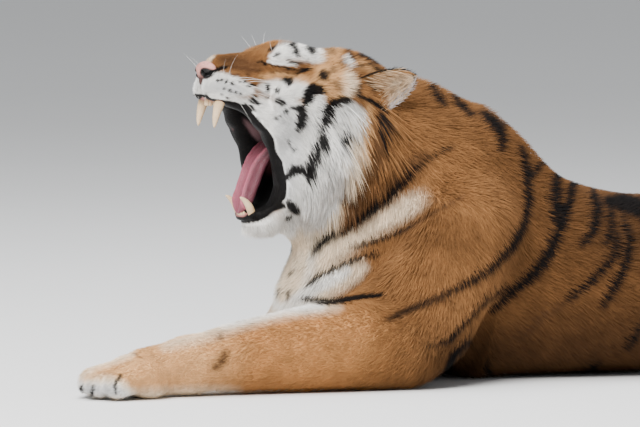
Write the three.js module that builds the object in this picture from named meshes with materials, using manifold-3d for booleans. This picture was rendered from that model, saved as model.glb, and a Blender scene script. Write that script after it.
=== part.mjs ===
// Siberian tiger, a large male in winter coat, lying on its chest with the left
// foreleg stretched out and yawning with its eyes squeezed shut. A still model.
// Millimetres, +Z up. The head points along -X, the left side is -Y, and the
// origin is the middle of the bounding box on the floor.
import * as THREE from 'three';
import { mergeVertices } from 'three/addons/utils/BufferGeometryUtils.js';
import Module from 'manifold-3d';

const wasm = await Module();
wasm.setup();

// ---- driving dimensions ------------------------------------------------
const GAP = 0.3;               // between nodes that touch
const FLOOR_DIP = 3;           // how far a resting limb is pressed to make its flat
const MIDDLE_X = 284;          // from the measuring frame to the middle of the box
const MIDDLE_Y = 0;

const NOSE = [-745, 0, 552];   // tip of the nose leather
const BROW = [-600, 0, 600];   // highest point of the face
const OCCIPUT = [-400, 0, 556];
const JAW_JOINT = [-505, 86, 462];
const CHIN = [-668, 0, 284];
const MUZZLE_HALF = 58;        // half width over the whisker pads
const CHEEK_HALF = 134;        // half width over the cheek bones
const UPPER_CANINE = 50;       // length showing
const LOWER_CANINE = 38;

const WITHERS = [-215, 70, 448];
const BACK_DIP = 316;          // height of the back behind the shoulders
const HIP_TOP = 394;
const TRUNK_HALF = 236;        // half width of the belly
const ELBOW = [-430, 212, 82];
const WRIST = [-850, 200, 52];
const PAW_LENGTH = 212;        // wrist to toe tips
const PAW_WIDTH = 138;
const TAIL_ROOT = [800, 0, 215];
const TAIL_THICK = 84;

const COAT = {
  orange: 0xb5763f, pale: 0xe6dccb, black: 0x1c1917, pink: 0xb5616c,
  leather: 0xc98d80, ivory: 0xe9d3b0, grey: 0xcfc8bd,
};

// ---- distance functions ------------------------------------------------
// Each is a function of (x, y, z) that is negative inside.
const mirrored = (f) => (x, y, z) => f(x, Math.abs(y), z);

function ball([cx, cy, cz], [rx, ry, rz], pitch = 0) {
  const c = Math.cos(pitch);
  const s = Math.sin(pitch);
  return (x, y, z) => {
    const px = (x - cx) * c + (z - cz) * s;
    const pz = (z - cz) * c - (x - cx) * s;
    const py = y - cy;
    const near = Math.hypot(px / rx, py / ry, pz / rz);
    const steep = Math.hypot(px / (rx * rx), py / (ry * ry), pz / (rz * rz));
    return steep < 1e-9 ? -Math.min(rx, ry, rz) : (near * (near - 1)) / steep;
  };
}

// A limb from a to b with a round section that changes from ra to rb.
function limb(a, ra, b, rb) {
  const ab = [b[0] - a[0], b[1] - a[1], b[2] - a[2]];
  const square = ab[0] ** 2 + ab[1] ** 2 + ab[2] ** 2;
  return (x, y, z) => {
    const p = [x - a[0], y - a[1], z - a[2]];
    const dot = p[0] * ab[0] + p[1] * ab[1] + p[2] * ab[2];
    const t = Math.min(1, Math.max(0, dot / square));
    return Math.hypot(p[0] - t * ab[0], p[1] - t * ab[1], p[2] - t * ab[2]) - ra - (rb - ra) * t;
  };
}

function chain(points, radii) {
  const limbs = points.slice(1).map((p, i) => limb(points[i], radii[i], p, radii[i + 1]));
  return (x, y, z) => Math.min(...limbs.map((f) => f(x, y, z)));
}

function soften(a, b, k) {
  const h = Math.max(k - Math.abs(a - b), 0) / k;
  return Math.min(a, b) - (h * h * k) / 4;
}

const blend = (k, ...fs) => (x, y, z) => {
  let d = fs[0](x, y, z);
  for (let i = 1; i < fs.length; i++) d = soften(d, fs[i](x, y, z), k);
  return d;
};

const carve = (f, g, k) => (x, y, z) => -soften(-f(x, y, z), g(x, y, z), k);

// Smooth value at x from rows of [x, value, value, ...].
function along(rows, x, column) {
  const last = rows.length - 1;
  if (x <= rows[0][0]) return rows[0][column];
  if (x >= rows[last][0]) return rows[last][column];
  const i = rows.findIndex((row) => row[0] > x) - 1;
  const slope = (j) => {
    const lo = rows[Math.max(0, j - 1)];
    const hi = rows[Math.min(last, j + 1)];
    return (hi[column] - lo[column]) / (hi[0] - lo[0]);
  };
  const step = rows[i + 1][0] - rows[i][0];
  const t = (x - rows[i][0]) / step;
  const from = rows[i][column];
  const to = rows[i + 1][column];
  return from * (1 + 2 * t) * (1 - t) ** 2 + slope(i) * step * t * (1 - t) ** 2
    + to * t * t * (3 - 2 * t) + slope(i + 1) * step * t * t * (t - 1);
}

// ---- the body as one form ----------------------------------------------
// Trunk: oval sections from the shoulders to the hips, belly on the floor.
// Columns: x, height of the back, half width.
const TRUNK = [
  [-260, 440, 190], [-150, 398, 208], [-60, 352, 224], [20, 328, 233], [110, BACK_DIP, TRUNK_HALF],
  [240, 322, 230], [400, 354, 214], [560, 388, 196], [700, 380, 176],
];
const TRUNK_FULL = 2.35;       // exponent of the oval section

function trunk(x, y, z) {
  const top = along(TRUNK, x, 1);
  const half = along(TRUNK, x, 2);
  const tall = (top + FLOOR_DIP) / 2;
  const up = (z - top + tall) / tall;
  const size = (Math.abs(y / half) ** TRUNK_FULL + Math.abs(up) ** TRUNK_FULL) ** (1 / TRUNK_FULL);
  const side = (size - 1) * Math.min(tall, half);
  const ends = Math.max(TRUNK[0][0] - x, x - TRUNK.at(-1)[0]);
  return Math.max(side, ends);
}

const neckAndChest = mirrored(blend(50,
  limb([-448, 0, 425], 124, [-325, 0, 332], 191),
  ball([-400, 0, 175], [170, 160, 180]),
  ball([-504, 0, 116], [88, 112, 92]),                         // brisket
  ball([-250, 0, 205], [180, 190, 200]),
  ball([WITHERS[0] - 6, WITHERS[1], WITHERS[2] - 110], [92, 74, 104]),
  ball([-338, 0, 428], [86, 60, 98]),                          // nape
  ball([-520, 0, 310], [56, 84, 80], 0.5)));                   // throat

const pelvis = blend(60,
  ball([640, 0, 206], [205, 172, HIP_TOP - 206]),
  mirrored(ball([700, 90, 180], [150, 90, 150])));

const frontLegLeft = blend(34,
  limb([-318, -168, 268], 104, [-400, -204, 110], 84),
  chain(
    [[-450, -ELBOW[1], ELBOW[2] - 8], [-600, -206, 77], [-760, -200, 63], [WRIST[0], -WRIST[1], WRIST[2]]],
    [78, 80, 64, 50]));

const frontLegRight = blend(34,
  limb([-318, 168, 268], 104, [-392, 208, 104], 84),
  chain(
    [[-402, 206, 70], [-520, 96, 60], [-640, -8, 48], [-680, -34, 46]],
    [74, 62, 48, 46]));

// A hind leg folded under: thigh and knee above, the long foot flat on the floor.
function hindLeg(side, forward) {
  const y = 226 * side;
  return blend(40,
    ball([575 - forward, y - 16 * side, 172], [212, 84, 158], -0.12),
    limb([420 - forward, y + 14 * side, 120], 84, [560 - forward, y + 10 * side, 110], 86),
    limb([770 - forward, y + 4 * side, 62], 52, [800 - forward, y - 20 * side, 110], 46),
    chain(
      [[770 - forward, y + 8 * side, 52], [600 - forward, y + 44 * side, 46], [470 - forward, y + 56 * side, 48]],
      [50, 46, 50]));
}

// A paw: palm, four toes side by side, and the dewclaw's bump. It points along
// (dx, dy) from its wrist.
function paw([wx, wy], [dx, dy], length, width) {
  const at = (forward, across, z) => [wx + dx * forward - dy * across, wy + dy * forward + dx * across, z];
  const toes = [-1.5, -0.5, 0.5, 1.5].map((k) => {
    const reach = length - 38 - 9 * k * k;
    return limb(at(reach - 52, k * width * 0.22, 42), 27, at(reach, k * width * 0.235, 26), 28);
  });
  return blend(16,
    limb(at(0, 0, 52), 50, at(length * 0.36, 0, 42), 46),
    limb(at(length * 0.42, -width * 0.22, 34), 38, at(length * 0.42, width * 0.22, 34), 38),
    blend(9, ...toes));
}

const TAIL_LINE = [
  TAIL_ROOT, [880, 4, 118], [960, 16, 52], [1080, 52, 37], [1240, 96, 34], [1400, 104, 33], [1530, 70, 31],
  [1612, 14, 28],
];
const TAIL_RADII = [TAIL_THICK / 2 + 14, 50, 44, 39, 36, 35, 33, 27];

// ---- the head as one form ----------------------------------------------
const cranium = blend(36,
  ball([-494, 0, 500], [106, 94, 88]),
  ball([BROW[0] + 18, 0, BROW[2] - 76], [72, 66, 76]),
  limb([-612, 0, 547], 38, [NOSE[0] + 30, 0, NOSE[2] - 10], 32));

const face = mirrored(blend(28,
  cranium,
  ball([-552, 74, 500], [88, CHEEK_HALF - 74, 50], 0.12),      // cheek bone and its muscle
  ball([-604, 46, 566], [40, 22, 20], -0.1),                   // brow ridge
  ball([-684, 28, 515], [54, MUZZLE_HALF - 28, 30], 0.24),     // whisker pad
  limb([-672, 42, 494], 20, [-636, 64, 450], 26),              // lip down to the mouth corner
  ball([-712, 17, 520], [27, 22, 25], 0.2),                    // front of the upper lip
  ball([-728, 12, 549], [15, 14, 13])));                       // wing of the nostril

const jaw = mirrored(blend(30,
  chain([[-540, 84, 480], [-540, 86, 410], [-574, 68, 346]], [48, 52, 42]),
  limb([-588, 58, 350], 36, [CHIN[0] + 42, 26, CHIN[2] + 18], 27),
  limb([-596, 58, 440], 34, [-592, 60, 350], 34),              // stretched cheek
  ball([CHIN[0] + 34, 0, CHIN[2] + 2], [32, 36, 24], 0.4),     // chin
  limb([-614, 0, 294], 30, [-566, 0, 306], 54)));              // floor of the mouth

// Side view of all that the open jaws leave free: upper lip, mouth corner, lower lip.
const LIP_LINE = [
  [-800, 512], [-716, 493], [-684, 472], [-656, 442], [-640, 396], [-626, 348], [-630, 314], [-652, 300],
  [-700, 293], [-800, 280],
];
function gape(x, y, z) {
  let d = Infinity;
  let sign = 1;
  for (let i = 0, j = LIP_LINE.length - 1; i < LIP_LINE.length; j = i++) {
    const [ax, az] = LIP_LINE[i];
    const [bx, bz] = LIP_LINE[j];
    const t = ((x - ax) * (bx - ax) + (z - az) * (bz - az)) / ((bx - ax) ** 2 + (bz - az) ** 2);
    const u = Math.min(1, Math.max(0, t));
    d = Math.min(d, Math.hypot(x - ax - u * (bx - ax), z - az - u * (bz - az)));
    if (az > z !== bz > z && x < ((bx - ax) * (z - az)) / (bz - az) + ax) sign = -sign;
  }
  return sign * d;
}
const mouth = blend(20,
  gape,
  ball([-648, 0, 404], [76, 46, 92], 0.15),
  ball([-590, 0, 404], [58, 40, 50]));

const headForm = carve(blend(34, face, jaw), mouth, 10);

const wholeBody = blend(46,
  headForm,
  neckAndChest,
  blend(70, trunk, pelvis),
  frontLegLeft,
  frontLegRight,
  hindLeg(-1, 0),
  hindLeg(1, 30),
  chain(TAIL_LINE, TAIL_RADII));

const mouthOpen = carve(wholeBody, mouth, 10);

const tiger = blend(18,
  mouthOpen,
  paw([WRIST[0], -WRIST[1]], [-1, 0], PAW_LENGTH, PAW_WIDTH),
  paw([-664, -24], [-0.995, -0.1], PAW_LENGTH - 16, PAW_WIDTH - 16),
  paw([500, -284], [-0.998, -0.06], PAW_LENGTH - 12, PAW_WIDTH - 16),
  paw([470, 284], [-0.998, 0.06], PAW_LENGTH - 12, PAW_WIDTH - 16));


// ---- from a distance function to a solid -------------------------------
function solid(geometry) {
  const points = geometry.getAttribute('position').array;
  const index = geometry.index.array;
  return new wasm.Manifold(new wasm.Mesh({
    numProp: 3, vertProperties: Float32Array.from(points), triVerts: Uint32Array.from(index),
  }));
}

// The surface where f equals level, inside the box lo to hi: one point in each
// grid cell that the surface crosses, drawn onto it, and four cells round each
// crossed edge joined by two triangles.
function surface(f, lo, hi, cell, level = 0) {
  const n = [0, 1, 2].map((i) => Math.ceil((hi[i] - lo[i]) / cell) + 1);
  const value = new Float32Array(n[0] * n[1] * n[2]);
  const at = (i, j, k) => (i * n[1] + j) * n[2] + k;
  for (let i = 0; i < n[0]; i++) {
    for (let j = 0; j < n[1]; j++) {
      for (let k = 0; k < n[2]; k++) {
        const edge = i === 0 || j === 0 || k === 0 || i === n[0] - 1 || j === n[1] - 1 || k === n[2] - 1;
        value[at(i, j, k)] = edge ? 1 : f(lo[0] + i * cell, lo[1] + j * cell, lo[2] + k * cell) - level;
      }
    }
  }
  const points = [];
  const cellPoint = new Map();
  for (let i = 0; i < n[0] - 1; i++) {
    for (let j = 0; j < n[1] - 1; j++) {
      for (let k = 0; k < n[2] - 1; k++) {
        const sum = [0, 0, 0];
        let crossings = 0;
        for (let e = 0; e < 12; e++) {
          const axis = e >> 2;
          const a = [0, 0, 0];
          a[(axis + 1) % 3] = e & 1;
          a[(axis + 2) % 3] = (e >> 1) & 1;
          const b = [...a];
          b[axis] = 1;
          const va = value[at(i + a[0], j + a[1], k + a[2])];
          const vb = value[at(i + b[0], j + b[1], k + b[2])];
          if (va < 0 === vb < 0) continue;
          const t = va / (va - vb);
          for (let c = 0; c < 3; c++) sum[c] += a[c] + t * (b[c] - a[c]);
          crossings++;
        }
        if (!crossings) continue;
        const p = [i, j, k].map((v, c) => lo[c] + cell * (v + sum[c] / crossings));
        cellPoint.set(at(i, j, k), points.length / 3);
        points.push(...drawn(f, p, cell, level));
      }
    }
  }
  const triangles = [];
  for (let i = 0; i < n[0] - 1; i++) {
    for (let j = 0; j < n[1] - 1; j++) {
      for (let k = 0; k < n[2] - 1; k++) {
        for (let axis = 0; axis < 3; axis++) {
          const step = [0, 0, 0];
          step[axis] = 1;
          const here = value[at(i, j, k)] < 0;
          if (here === value[at(i + step[0], j + step[1], k + step[2])] < 0) continue;
          const u = [0, 0, 0];
          const v = [0, 0, 0];
          u[(axis + 1) % 3] = 1;
          v[(axis + 2) % 3] = 1;
          const corner = (a, b) => cellPoint.get(
            at(i - a * u[0] - b * v[0], j - a * u[1] - b * v[1], k - a * u[2] - b * v[2]));
          const quad = [corner(0, 0), corner(1, 0), corner(1, 1), corner(0, 1)];
          if (!here) quad.reverse();
          const apart = (p, q) => Math.hypot(...[0, 1, 2].map((c) => points[3 * p + c] - points[3 * q + c]));
          const [a, b, c, d] = quad;
          if (apart(a, c) <= apart(b, d)) triangles.push(a, b, c, a, c, d);
          else triangles.push(b, c, d, b, d, a);
        }
      }
    }
  }
  const geometry = new THREE.BufferGeometry();
  geometry.setAttribute('position', new THREE.Float32BufferAttribute(points, 3));
  geometry.setIndex(triangles);
  return solid(geometry);
}

// Slope of f at p.
function slopeAt(f, [x, y, z], h = 0.5) {
  return [
    (f(x + h, y, z) - f(x - h, y, z)) / (2 * h),
    (f(x, y + h, z) - f(x, y - h, z)) / (2 * h),
    (f(x, y, z + h) - f(x, y, z - h)) / (2 * h),
  ];
}

// p moved onto the surface of f, by no more than a part of a cell.
function drawn(f, p, cell, level = 0) {
  let q = p;
  for (let turn = 0; turn < 3; turn++) {
    const g = slopeAt(f, q);
    const square = Math.max(g[0] ** 2 + g[1] ** 2 + g[2] ** 2, 0.2);
    const d = f(...q) - level;
    q = q.map((v, i) => v - (d * g[i]) / square);
  }
  const moved = Math.hypot(...q.map((v, i) => v - p[i]));
  const share = Math.min(1, (0.45 * cell) / Math.max(moved, 1e-9));
  return p.map((v, i) => v + (q[i] - v) * share);
}

// All that lies behind a plane, seen from where its normal points.
const FAR = 6000;
function behind(point, normal, shift = 0) {
  const n = new THREE.Vector3(...normal).normalize();
  const box = new THREE.BoxGeometry(FAR, FAR, FAR);
  box.deleteAttribute('normal');
  box.deleteAttribute('uv');
  const turn = new THREE.Quaternion().setFromUnitVectors(new THREE.Vector3(1, 0, 0), n);
  const centre = new THREE.Vector3(...point).addScaledVector(n, shift - FAR / 2);
  box.applyMatrix4(new THREE.Matrix4().compose(centre, turn, new THREE.Vector3(1, 1, 1)));
  return solid(mergeVertices(box));
}

// A region is a list of [point, normal] planes. It is what lies behind all.
const region = (planes, grow = 0) => planes
  .map(([point, normal]) => behind(point, normal, grow))
  .reduce((a, b) => a.intersect(b));

const below = (z) => [[0, 0, z], [0, 0, 1]];
const above = (z) => [[0, 0, z], [0, 0, -1]];
const ahead = (x) => [[x, 0, 0], [1, 0, 0]];
const after = (x) => [[x, 0, 0], [-1, 0, 0]];
const leftOf = (y) => [[0, y, 0], [0, 1, 0]];
const rightOf = (y) => [[0, y, 0], [0, -1, 0]];
const outside = (side, y) => (side < 0 ? leftOf(-y) : rightOf(y));

const largest = (m) => m.decompose().sort((a, b) => b.volume() - a.volume())[0];

// Cuts leave slivers. Corners closer than SLIVER become one, and where a corner
// all but touches the long edge opposite, that edge is turned to the far corner.
const SLIVER = 0.012;
function tidied(m) {
  const mesh = m.getMesh();
  const points = mesh.vertProperties;
  let triangles = [];
  for (let i = 0; i < mesh.triVerts.length; i += 3) triangles.push([...mesh.triVerts.slice(i, i + 3)]);
  const apart = (a, b) => Math.hypot(
    points[3 * a] - points[3 * b], points[3 * a + 1] - points[3 * b + 1], points[3 * a + 2] - points[3 * b + 2]);
  for (let turn = 0; turn < 8; turn++) {
    const kept = new Map();
    const root = (v) => (kept.has(v) ? root(kept.get(v)) : v);
    for (const t of triangles) {
      for (let i = 0; i < 3; i++) {
        const a = root(t[i]);
        const b = root(t[(i + 1) % 3]);
        if (a !== b && apart(a, b) < SLIVER) kept.set(Math.max(a, b), Math.min(a, b));
      }
    }
    triangles = triangles.map((t) => t.map(root)).filter(([a, b, c]) => a !== b && b !== c && c !== a);
    const owner = new Map();
    triangles.forEach((t, n) => t.forEach((a, i) => owner.set(`${a},${t[(i + 1) % 3]}`, n)));
    const touched = new Set();
    let flips = 0;
    triangles.forEach((t, n) => {
      const edges = [0, 1, 2].map((i) => apart(t[i], t[(i + 1) % 3]));
      const i = edges.indexOf(Math.max(...edges));
      const half = (edges[0] + edges[1] + edges[2]) / 2;
      const area = Math.sqrt(Math.max(0, half * (half - edges[0]) * (half - edges[1]) * (half - edges[2])));
      if ((2 * area) / edges[i] > SLIVER) return;
      const [a, b, c] = [t[i], t[(i + 1) % 3], t[(i + 2) % 3]];
      const other = owner.get(`${b},${a}`);
      if (other === undefined || touched.has(n) || touched.has(other)) return;
      const d = triangles[other].find((v) => v !== a && v !== b);
      if (d === c || owner.has(`${c},${d}`) || owner.has(`${d},${c}`)) return;
      triangles[n] = [a, d, c];
      triangles[other] = [d, b, c];
      [n, other].forEach((v) => touched.add(v));
      flips++;
    });
    if (!flips && !kept.size) break;
  }
  const used = [...new Set(triangles.flat())];
  const place = new Map(used.map((v, i) => [v, i]));
  // Two corners at one place, where sheets touch, are drawn apart.
  const seen = new Set();
  for (const v of used) {
    const key = [0, 1, 2].map((c) => points[3 * v + c].toFixed(2)).join();
    if (seen.has(key)) {
      const near = new Set(triangles.filter((t) => t.includes(v)).flat());
      for (let c = 0; c < 3; c++) {
        const mean = [...near].reduce((sum, n) => sum + points[3 * n + c], 0) / near.size;
        points[3 * v + c] += 0.05 * (mean - points[3 * v + c]);
      }
    }
    seen.add(key);
  }
  const geometry = new THREE.BufferGeometry();
  geometry.setAttribute('position',
    new THREE.Float32BufferAttribute(used.flatMap((v) => [...points.slice(3 * v, 3 * v + 3)]), 3));
  geometry.setIndex(triangles.flat().map((v) => place.get(v)));
  return solid(geometry);
}

// ---- where the body is parted ------------------------------------------
const HEAD_CUT = [[-470, 0, 394], [0.892, 0, -0.452]];       // behind the ears and the jaw
const NECK_CUT = [[-300, 0, 394], [0.892, 0, -0.452]];
const THROAT_Z = 226;
const JAW_CUT = [[-505, 0, 462], [0.264, 0, -0.964]];        // jaw joint to mouth corner
const CHEEK_TOP = 486;
const CHEST_X = -60;
const LOIN_X = 372;
const RUMP_X = 850;
const ELBOW_Z = 146;
const KNEE_Z = 104;
const RIGHT_FORWARD = 30;      // the right hind foot lies this much further forward
const FOLD = [-0.735, -0.678, 0];                            // the way the right forearm points
const FOLD_END = [[-652, -20, 0], FOLD];
const FOLD_BACK = [[-350, 150, 0], [0.678, -0.735, 0]];

const flip = ([point, normal]) => [point, normal.map((v) => -v)];
const regions = {
  headAndJaw: [HEAD_CUT, above(THROAT_Z)],
  head: [HEAD_CUT, above(THROAT_Z), JAW_CUT],
  neck: [NECK_CUT, above(THROAT_Z)],
  chest: [ahead(CHEST_X)],
  torso: [ahead(LOIN_X)],
  hindquarters: [ahead(RUMP_X)],
  tail_root: [ahead(1100)],
  tail_middle: [ahead(1370)],
  tail_tip: [ahead(1800)],
  forearm_left: [leftOf(-112), ahead(-330), after(-838), below(ELBOW_Z)],
  paw_front_left: [leftOf(-112), ahead(-838), below(ELBOW_Z)],
  forearm_right: [FOLD_END, FOLD_BACK, below(ELBOW_Z), ahead(-330)],
  paw_front_right: [flip(FOLD_END), rightOf(-112), below(ELBOW_Z), ahead(-560)],
};
for (const [side, word, shift] of [[-1, 'left', 0], [1, 'right', -RIGHT_FORWARD]]) {
  regions[`cheek_${word}`] = [
    HEAD_CUT, outside(side, 62), below(CHEEK_TOP), above(THROAT_Z), [[-588, 0, 440], [-0.98, 0, -0.2]]];
  regions[`upper_arm_${word}`] = [outside(side, 128), ahead(-215), after(-560), below(352), above(ELBOW_Z)];
  regions[`thigh_${word}`] = [
    outside(side, 142), ahead(806 + shift), after(362 + shift), below(420), above(KNEE_Z)];
  regions[`lower_leg_${word}`] = [
    outside(side, 176), ahead(850 + shift), after(486 + shift), below(KNEE_Z)];
  regions[`paw_hind_${word}`] = [
    outside(side, 222), ahead(486 + shift), after(240 + shift), below(KNEE_Z)];
}
const sides = (name) => [`${name}_left`, `${name}_right`];
const CHEEKS = sides('cheek');
const ARMS = ['upper_arm', 'forearm', 'paw_front'].flatMap(sides);
const HIND_LEGS = ['thigh', 'lower_leg', 'paw_hind'].flatMap(sides);

// Each node: the box it is meshed in, its cell, and the regions it gives way to.
const BOX = {
  head: [[-790, -190, 190], [-370, 190, 640]],
  neck: [[-640, -260, 170], [-180, 260, 600]],
  chest: [[-680, -330, -60], [0, 330, 560]],
  torso: [[-120, -330, -60], [440, 330, 420]],
  hind: [[200, -380, -60], [930, 380, 440]],
  tail: [[820, -120, -60], [1680, 200, 260]],
  front: [[-1100, -330, -60], [-200, 330, 400]],
};
const HEAD_CELL = 17.6;
const NECK_CELL = 50;
const BODY_CELL = 68;
const LIMB_CELL = 47;
const PAW_CELL = 28;
const PLAN = [
  ...CHEEKS.map((name) => [name, BOX.head, HEAD_CELL, []]),
  ['head', BOX.head, HEAD_CELL, CHEEKS],
  ['lower_jaw', BOX.head, HEAD_CELL, [...CHEEKS, 'head'], 'headAndJaw'],
  ...['left', 'right'].flatMap((w) => [
    [`upper_arm_${w}`, BOX.front, LIMB_CELL, ['headAndJaw', `forearm_${w}`]],
    [`forearm_${w}`, BOX.front, LIMB_CELL, [`paw_front_${w}`]],
    [`paw_front_${w}`, BOX.front, PAW_CELL, []],
    [`thigh_${w}`, BOX.hind, LIMB_CELL, [`lower_leg_${w}`, `paw_hind_${w}`]],
    [`lower_leg_${w}`, BOX.hind, LIMB_CELL, [`paw_hind_${w}`]],
    [`paw_hind_${w}`, BOX.hind, PAW_CELL, []],
  ]),
  ['neck', BOX.neck, NECK_CELL, ['headAndJaw', ...ARMS]],
  ['chest', BOX.chest, BODY_CELL, ['headAndJaw', 'neck', ...ARMS]],
  ['torso', BOX.torso, BODY_CELL, ['chest', ...HIND_LEGS]],
  ['hindquarters', BOX.hind, BODY_CELL, ['torso', ...HIND_LEGS]],
  ['tail_root', BOX.tail, LIMB_CELL, ['hindquarters']],
];

const FLOOR = above(0);
const pieces = {};
for (const [name, [lo, hi], cell, yields, own] of PLAN) {
  let m = surface(tiger, lo, hi, cell).intersect(region([...regions[own ?? name], FLOOR]));
  for (const other of yields) m = m.subtract(region(regions[other], GAP));
  pieces[name] = largest(m);
}

// A closed tube of rings. ring(i) gives its centre, its two half axes as
// vectors, and each ring has the same number of sides; the ends are points.
function tube(rings, sides, start, end, squareness = 2) {
  const points = [];
  const triangles = [];
  for (const { centre, wide, thick } of rings) {
    for (let s = 0; s < sides; s++) {
      const turn = (2 * Math.PI * (s + 0.5)) / sides;
      const c = Math.cos(turn);
      const n = Math.sin(turn);
      const size = (Math.abs(c) ** squareness + Math.abs(n) ** squareness) ** (-1 / squareness);
      points.push(...centre.clone().addScaledVector(wide, c * size).addScaledVector(thick, n * size));
    }
  }
  const first = points.length / 3;
  const last = first + 1;
  points.push(...start, ...end);
  const far = (rings.length - 1) * sides;
  for (let s = 0; s < sides; s++) {
    const t = (s + 1) % sides;
    triangles.push(first, t, s, last, far + s, far + t);
    for (let a = 0; a < far; a += sides) {
      const b = a + sides;
      triangles.push(a + s, a + t, b + t, a + s, b + t, b + s);
    }
  }
  const geometry = new THREE.BufferGeometry();
  geometry.setAttribute('position', new THREE.Float32BufferAttribute(points, 3));
  geometry.setIndex(triangles);
  const m = solid(geometry);
  return m.volume() > 0 ? m : solid(geometry.clone().setIndex(triangles.toReversed()));
}

const vector = (p) => new THREE.Vector3(...p);

// Rings along a smooth line: size(u) gives the half width and half thickness.
function along3d(points, count, size, widthAxis) {
  const line = new THREE.CatmullRomCurve3(points.map(vector));
  return Array.from({ length: count + 1 }, (_, i) => {
    const u = i / count;
    const run = line.getTangent(u);
    const wide = vector(widthAxis).addScaledVector(run, -run.dot(vector(widthAxis))).normalize();
    const thick = new THREE.Vector3().crossVectors(run, wide);
    const [w, t] = size(u);
    return { centre: line.getPoint(u), wide: wide.multiplyScalar(w), thick: thick.multiplyScalar(t) };
  });
}

// The rest of the tail, cut into two lengths.
const TAIL_SIDES = 12;
const tailRings = along3d(TAIL_LINE.slice(2), 16, (u) => {
  const step = u * (TAIL_RADII.length - 3);
  const k = Math.min(Math.floor(step), TAIL_RADII.length - 4);
  const wide = TAIL_RADII[k + 2] + (TAIL_RADII[k + 3] - TAIL_RADII[k + 2]) * (step - k);
  const end = wide * Math.sqrt(Math.min(1, (1 - u) * 9 + 0.1));
  return [end, end];
}, [0, 1, 0]);
const tail = tube(tailRings, TAIL_SIDES, TAIL_LINE[2], TAIL_LINE.at(-1)).intersect(region([FLOOR]));
pieces.tail_middle = largest(tail.intersect(region(regions.tail_middle)).subtract(region(regions.tail_root, GAP)));
pieces.tail_tip = largest(tail.subtract(region(regions.tail_middle, GAP)));

// ---- nose, closed eyes, ears, teeth and tongue --------------------------
// An oval body turned so that its first axis points along dir.
function oval(centre, radii, dir, up, rings = 12, grow = 0) {
  const geometry = new THREE.SphereGeometry(1, rings, Math.round(rings * 0.6));
  geometry.deleteAttribute('normal');
  geometry.deleteAttribute('uv');
  const x = vector(dir).normalize();
  const z = vector(up).addScaledVector(x, -x.dot(vector(up))).normalize();
  const y = new THREE.Vector3().crossVectors(z, x);
  const turn = new THREE.Matrix4().makeBasis(x, y, z);
  turn.scale(vector(radii.map((r) => r + grow))).setPosition(vector(centre));
  return solid(mergeVertices(geometry.applyMatrix4(turn)));
}

// Sets a piece into its hosts: each gets a socket that is larger by the gap.
function fit(name, make, hosts) {
  pieces[name] = largest(make(0));
  for (const host of hosts) pieces[host] = pieces[host].subtract(make(GAP));
}

// Nose leather: a rounded pad with a nostril slanting back at each side.
const NOSE_SIZE = [15, 25, 16];
fit('nose', (grow) => oval([NOSE[0] + 6, 0, NOSE[2] + 1], NOSE_SIZE, [1, 0, 0.18], [0, 0, 1], 13, grow), ['head']);
for (const side of [-1, 1]) {
  const nostril = oval([NOSE[0] - 4, side * 15, NOSE[2] - 4], [15, 6, 5], [0.62, side, -0.2], [0, 0, 1], 10);
  pieces.nose = largest(pieces.nose.subtract(nostril));
}

// Closed eye: a swollen pair of lids, pressed together along a slit.
const EYE = [-612, 60, 554];
const LIDS = [28, 12, 15];
for (const [side, word] of [[-1, 'left'], [1, 'right']]) {
  const centre = [EYE[0], side * EYE[1], EYE[2]];
  const slope = [1, side * 0.3, -0.17];
  fit(`eyelids_${word}`, (grow) => oval(centre, LIDS, slope, [0, 0, 1], 11, grow), ['head']);
  const slit = oval([EYE[0], side * (EYE[1] + 11), EYE[2]], [25, 5, 1.2], slope, [0, 0, 1], 8);
  pieces[`eyelids_${word}`] = largest(pieces[`eyelids_${word}`].subtract(slit));
}

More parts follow.
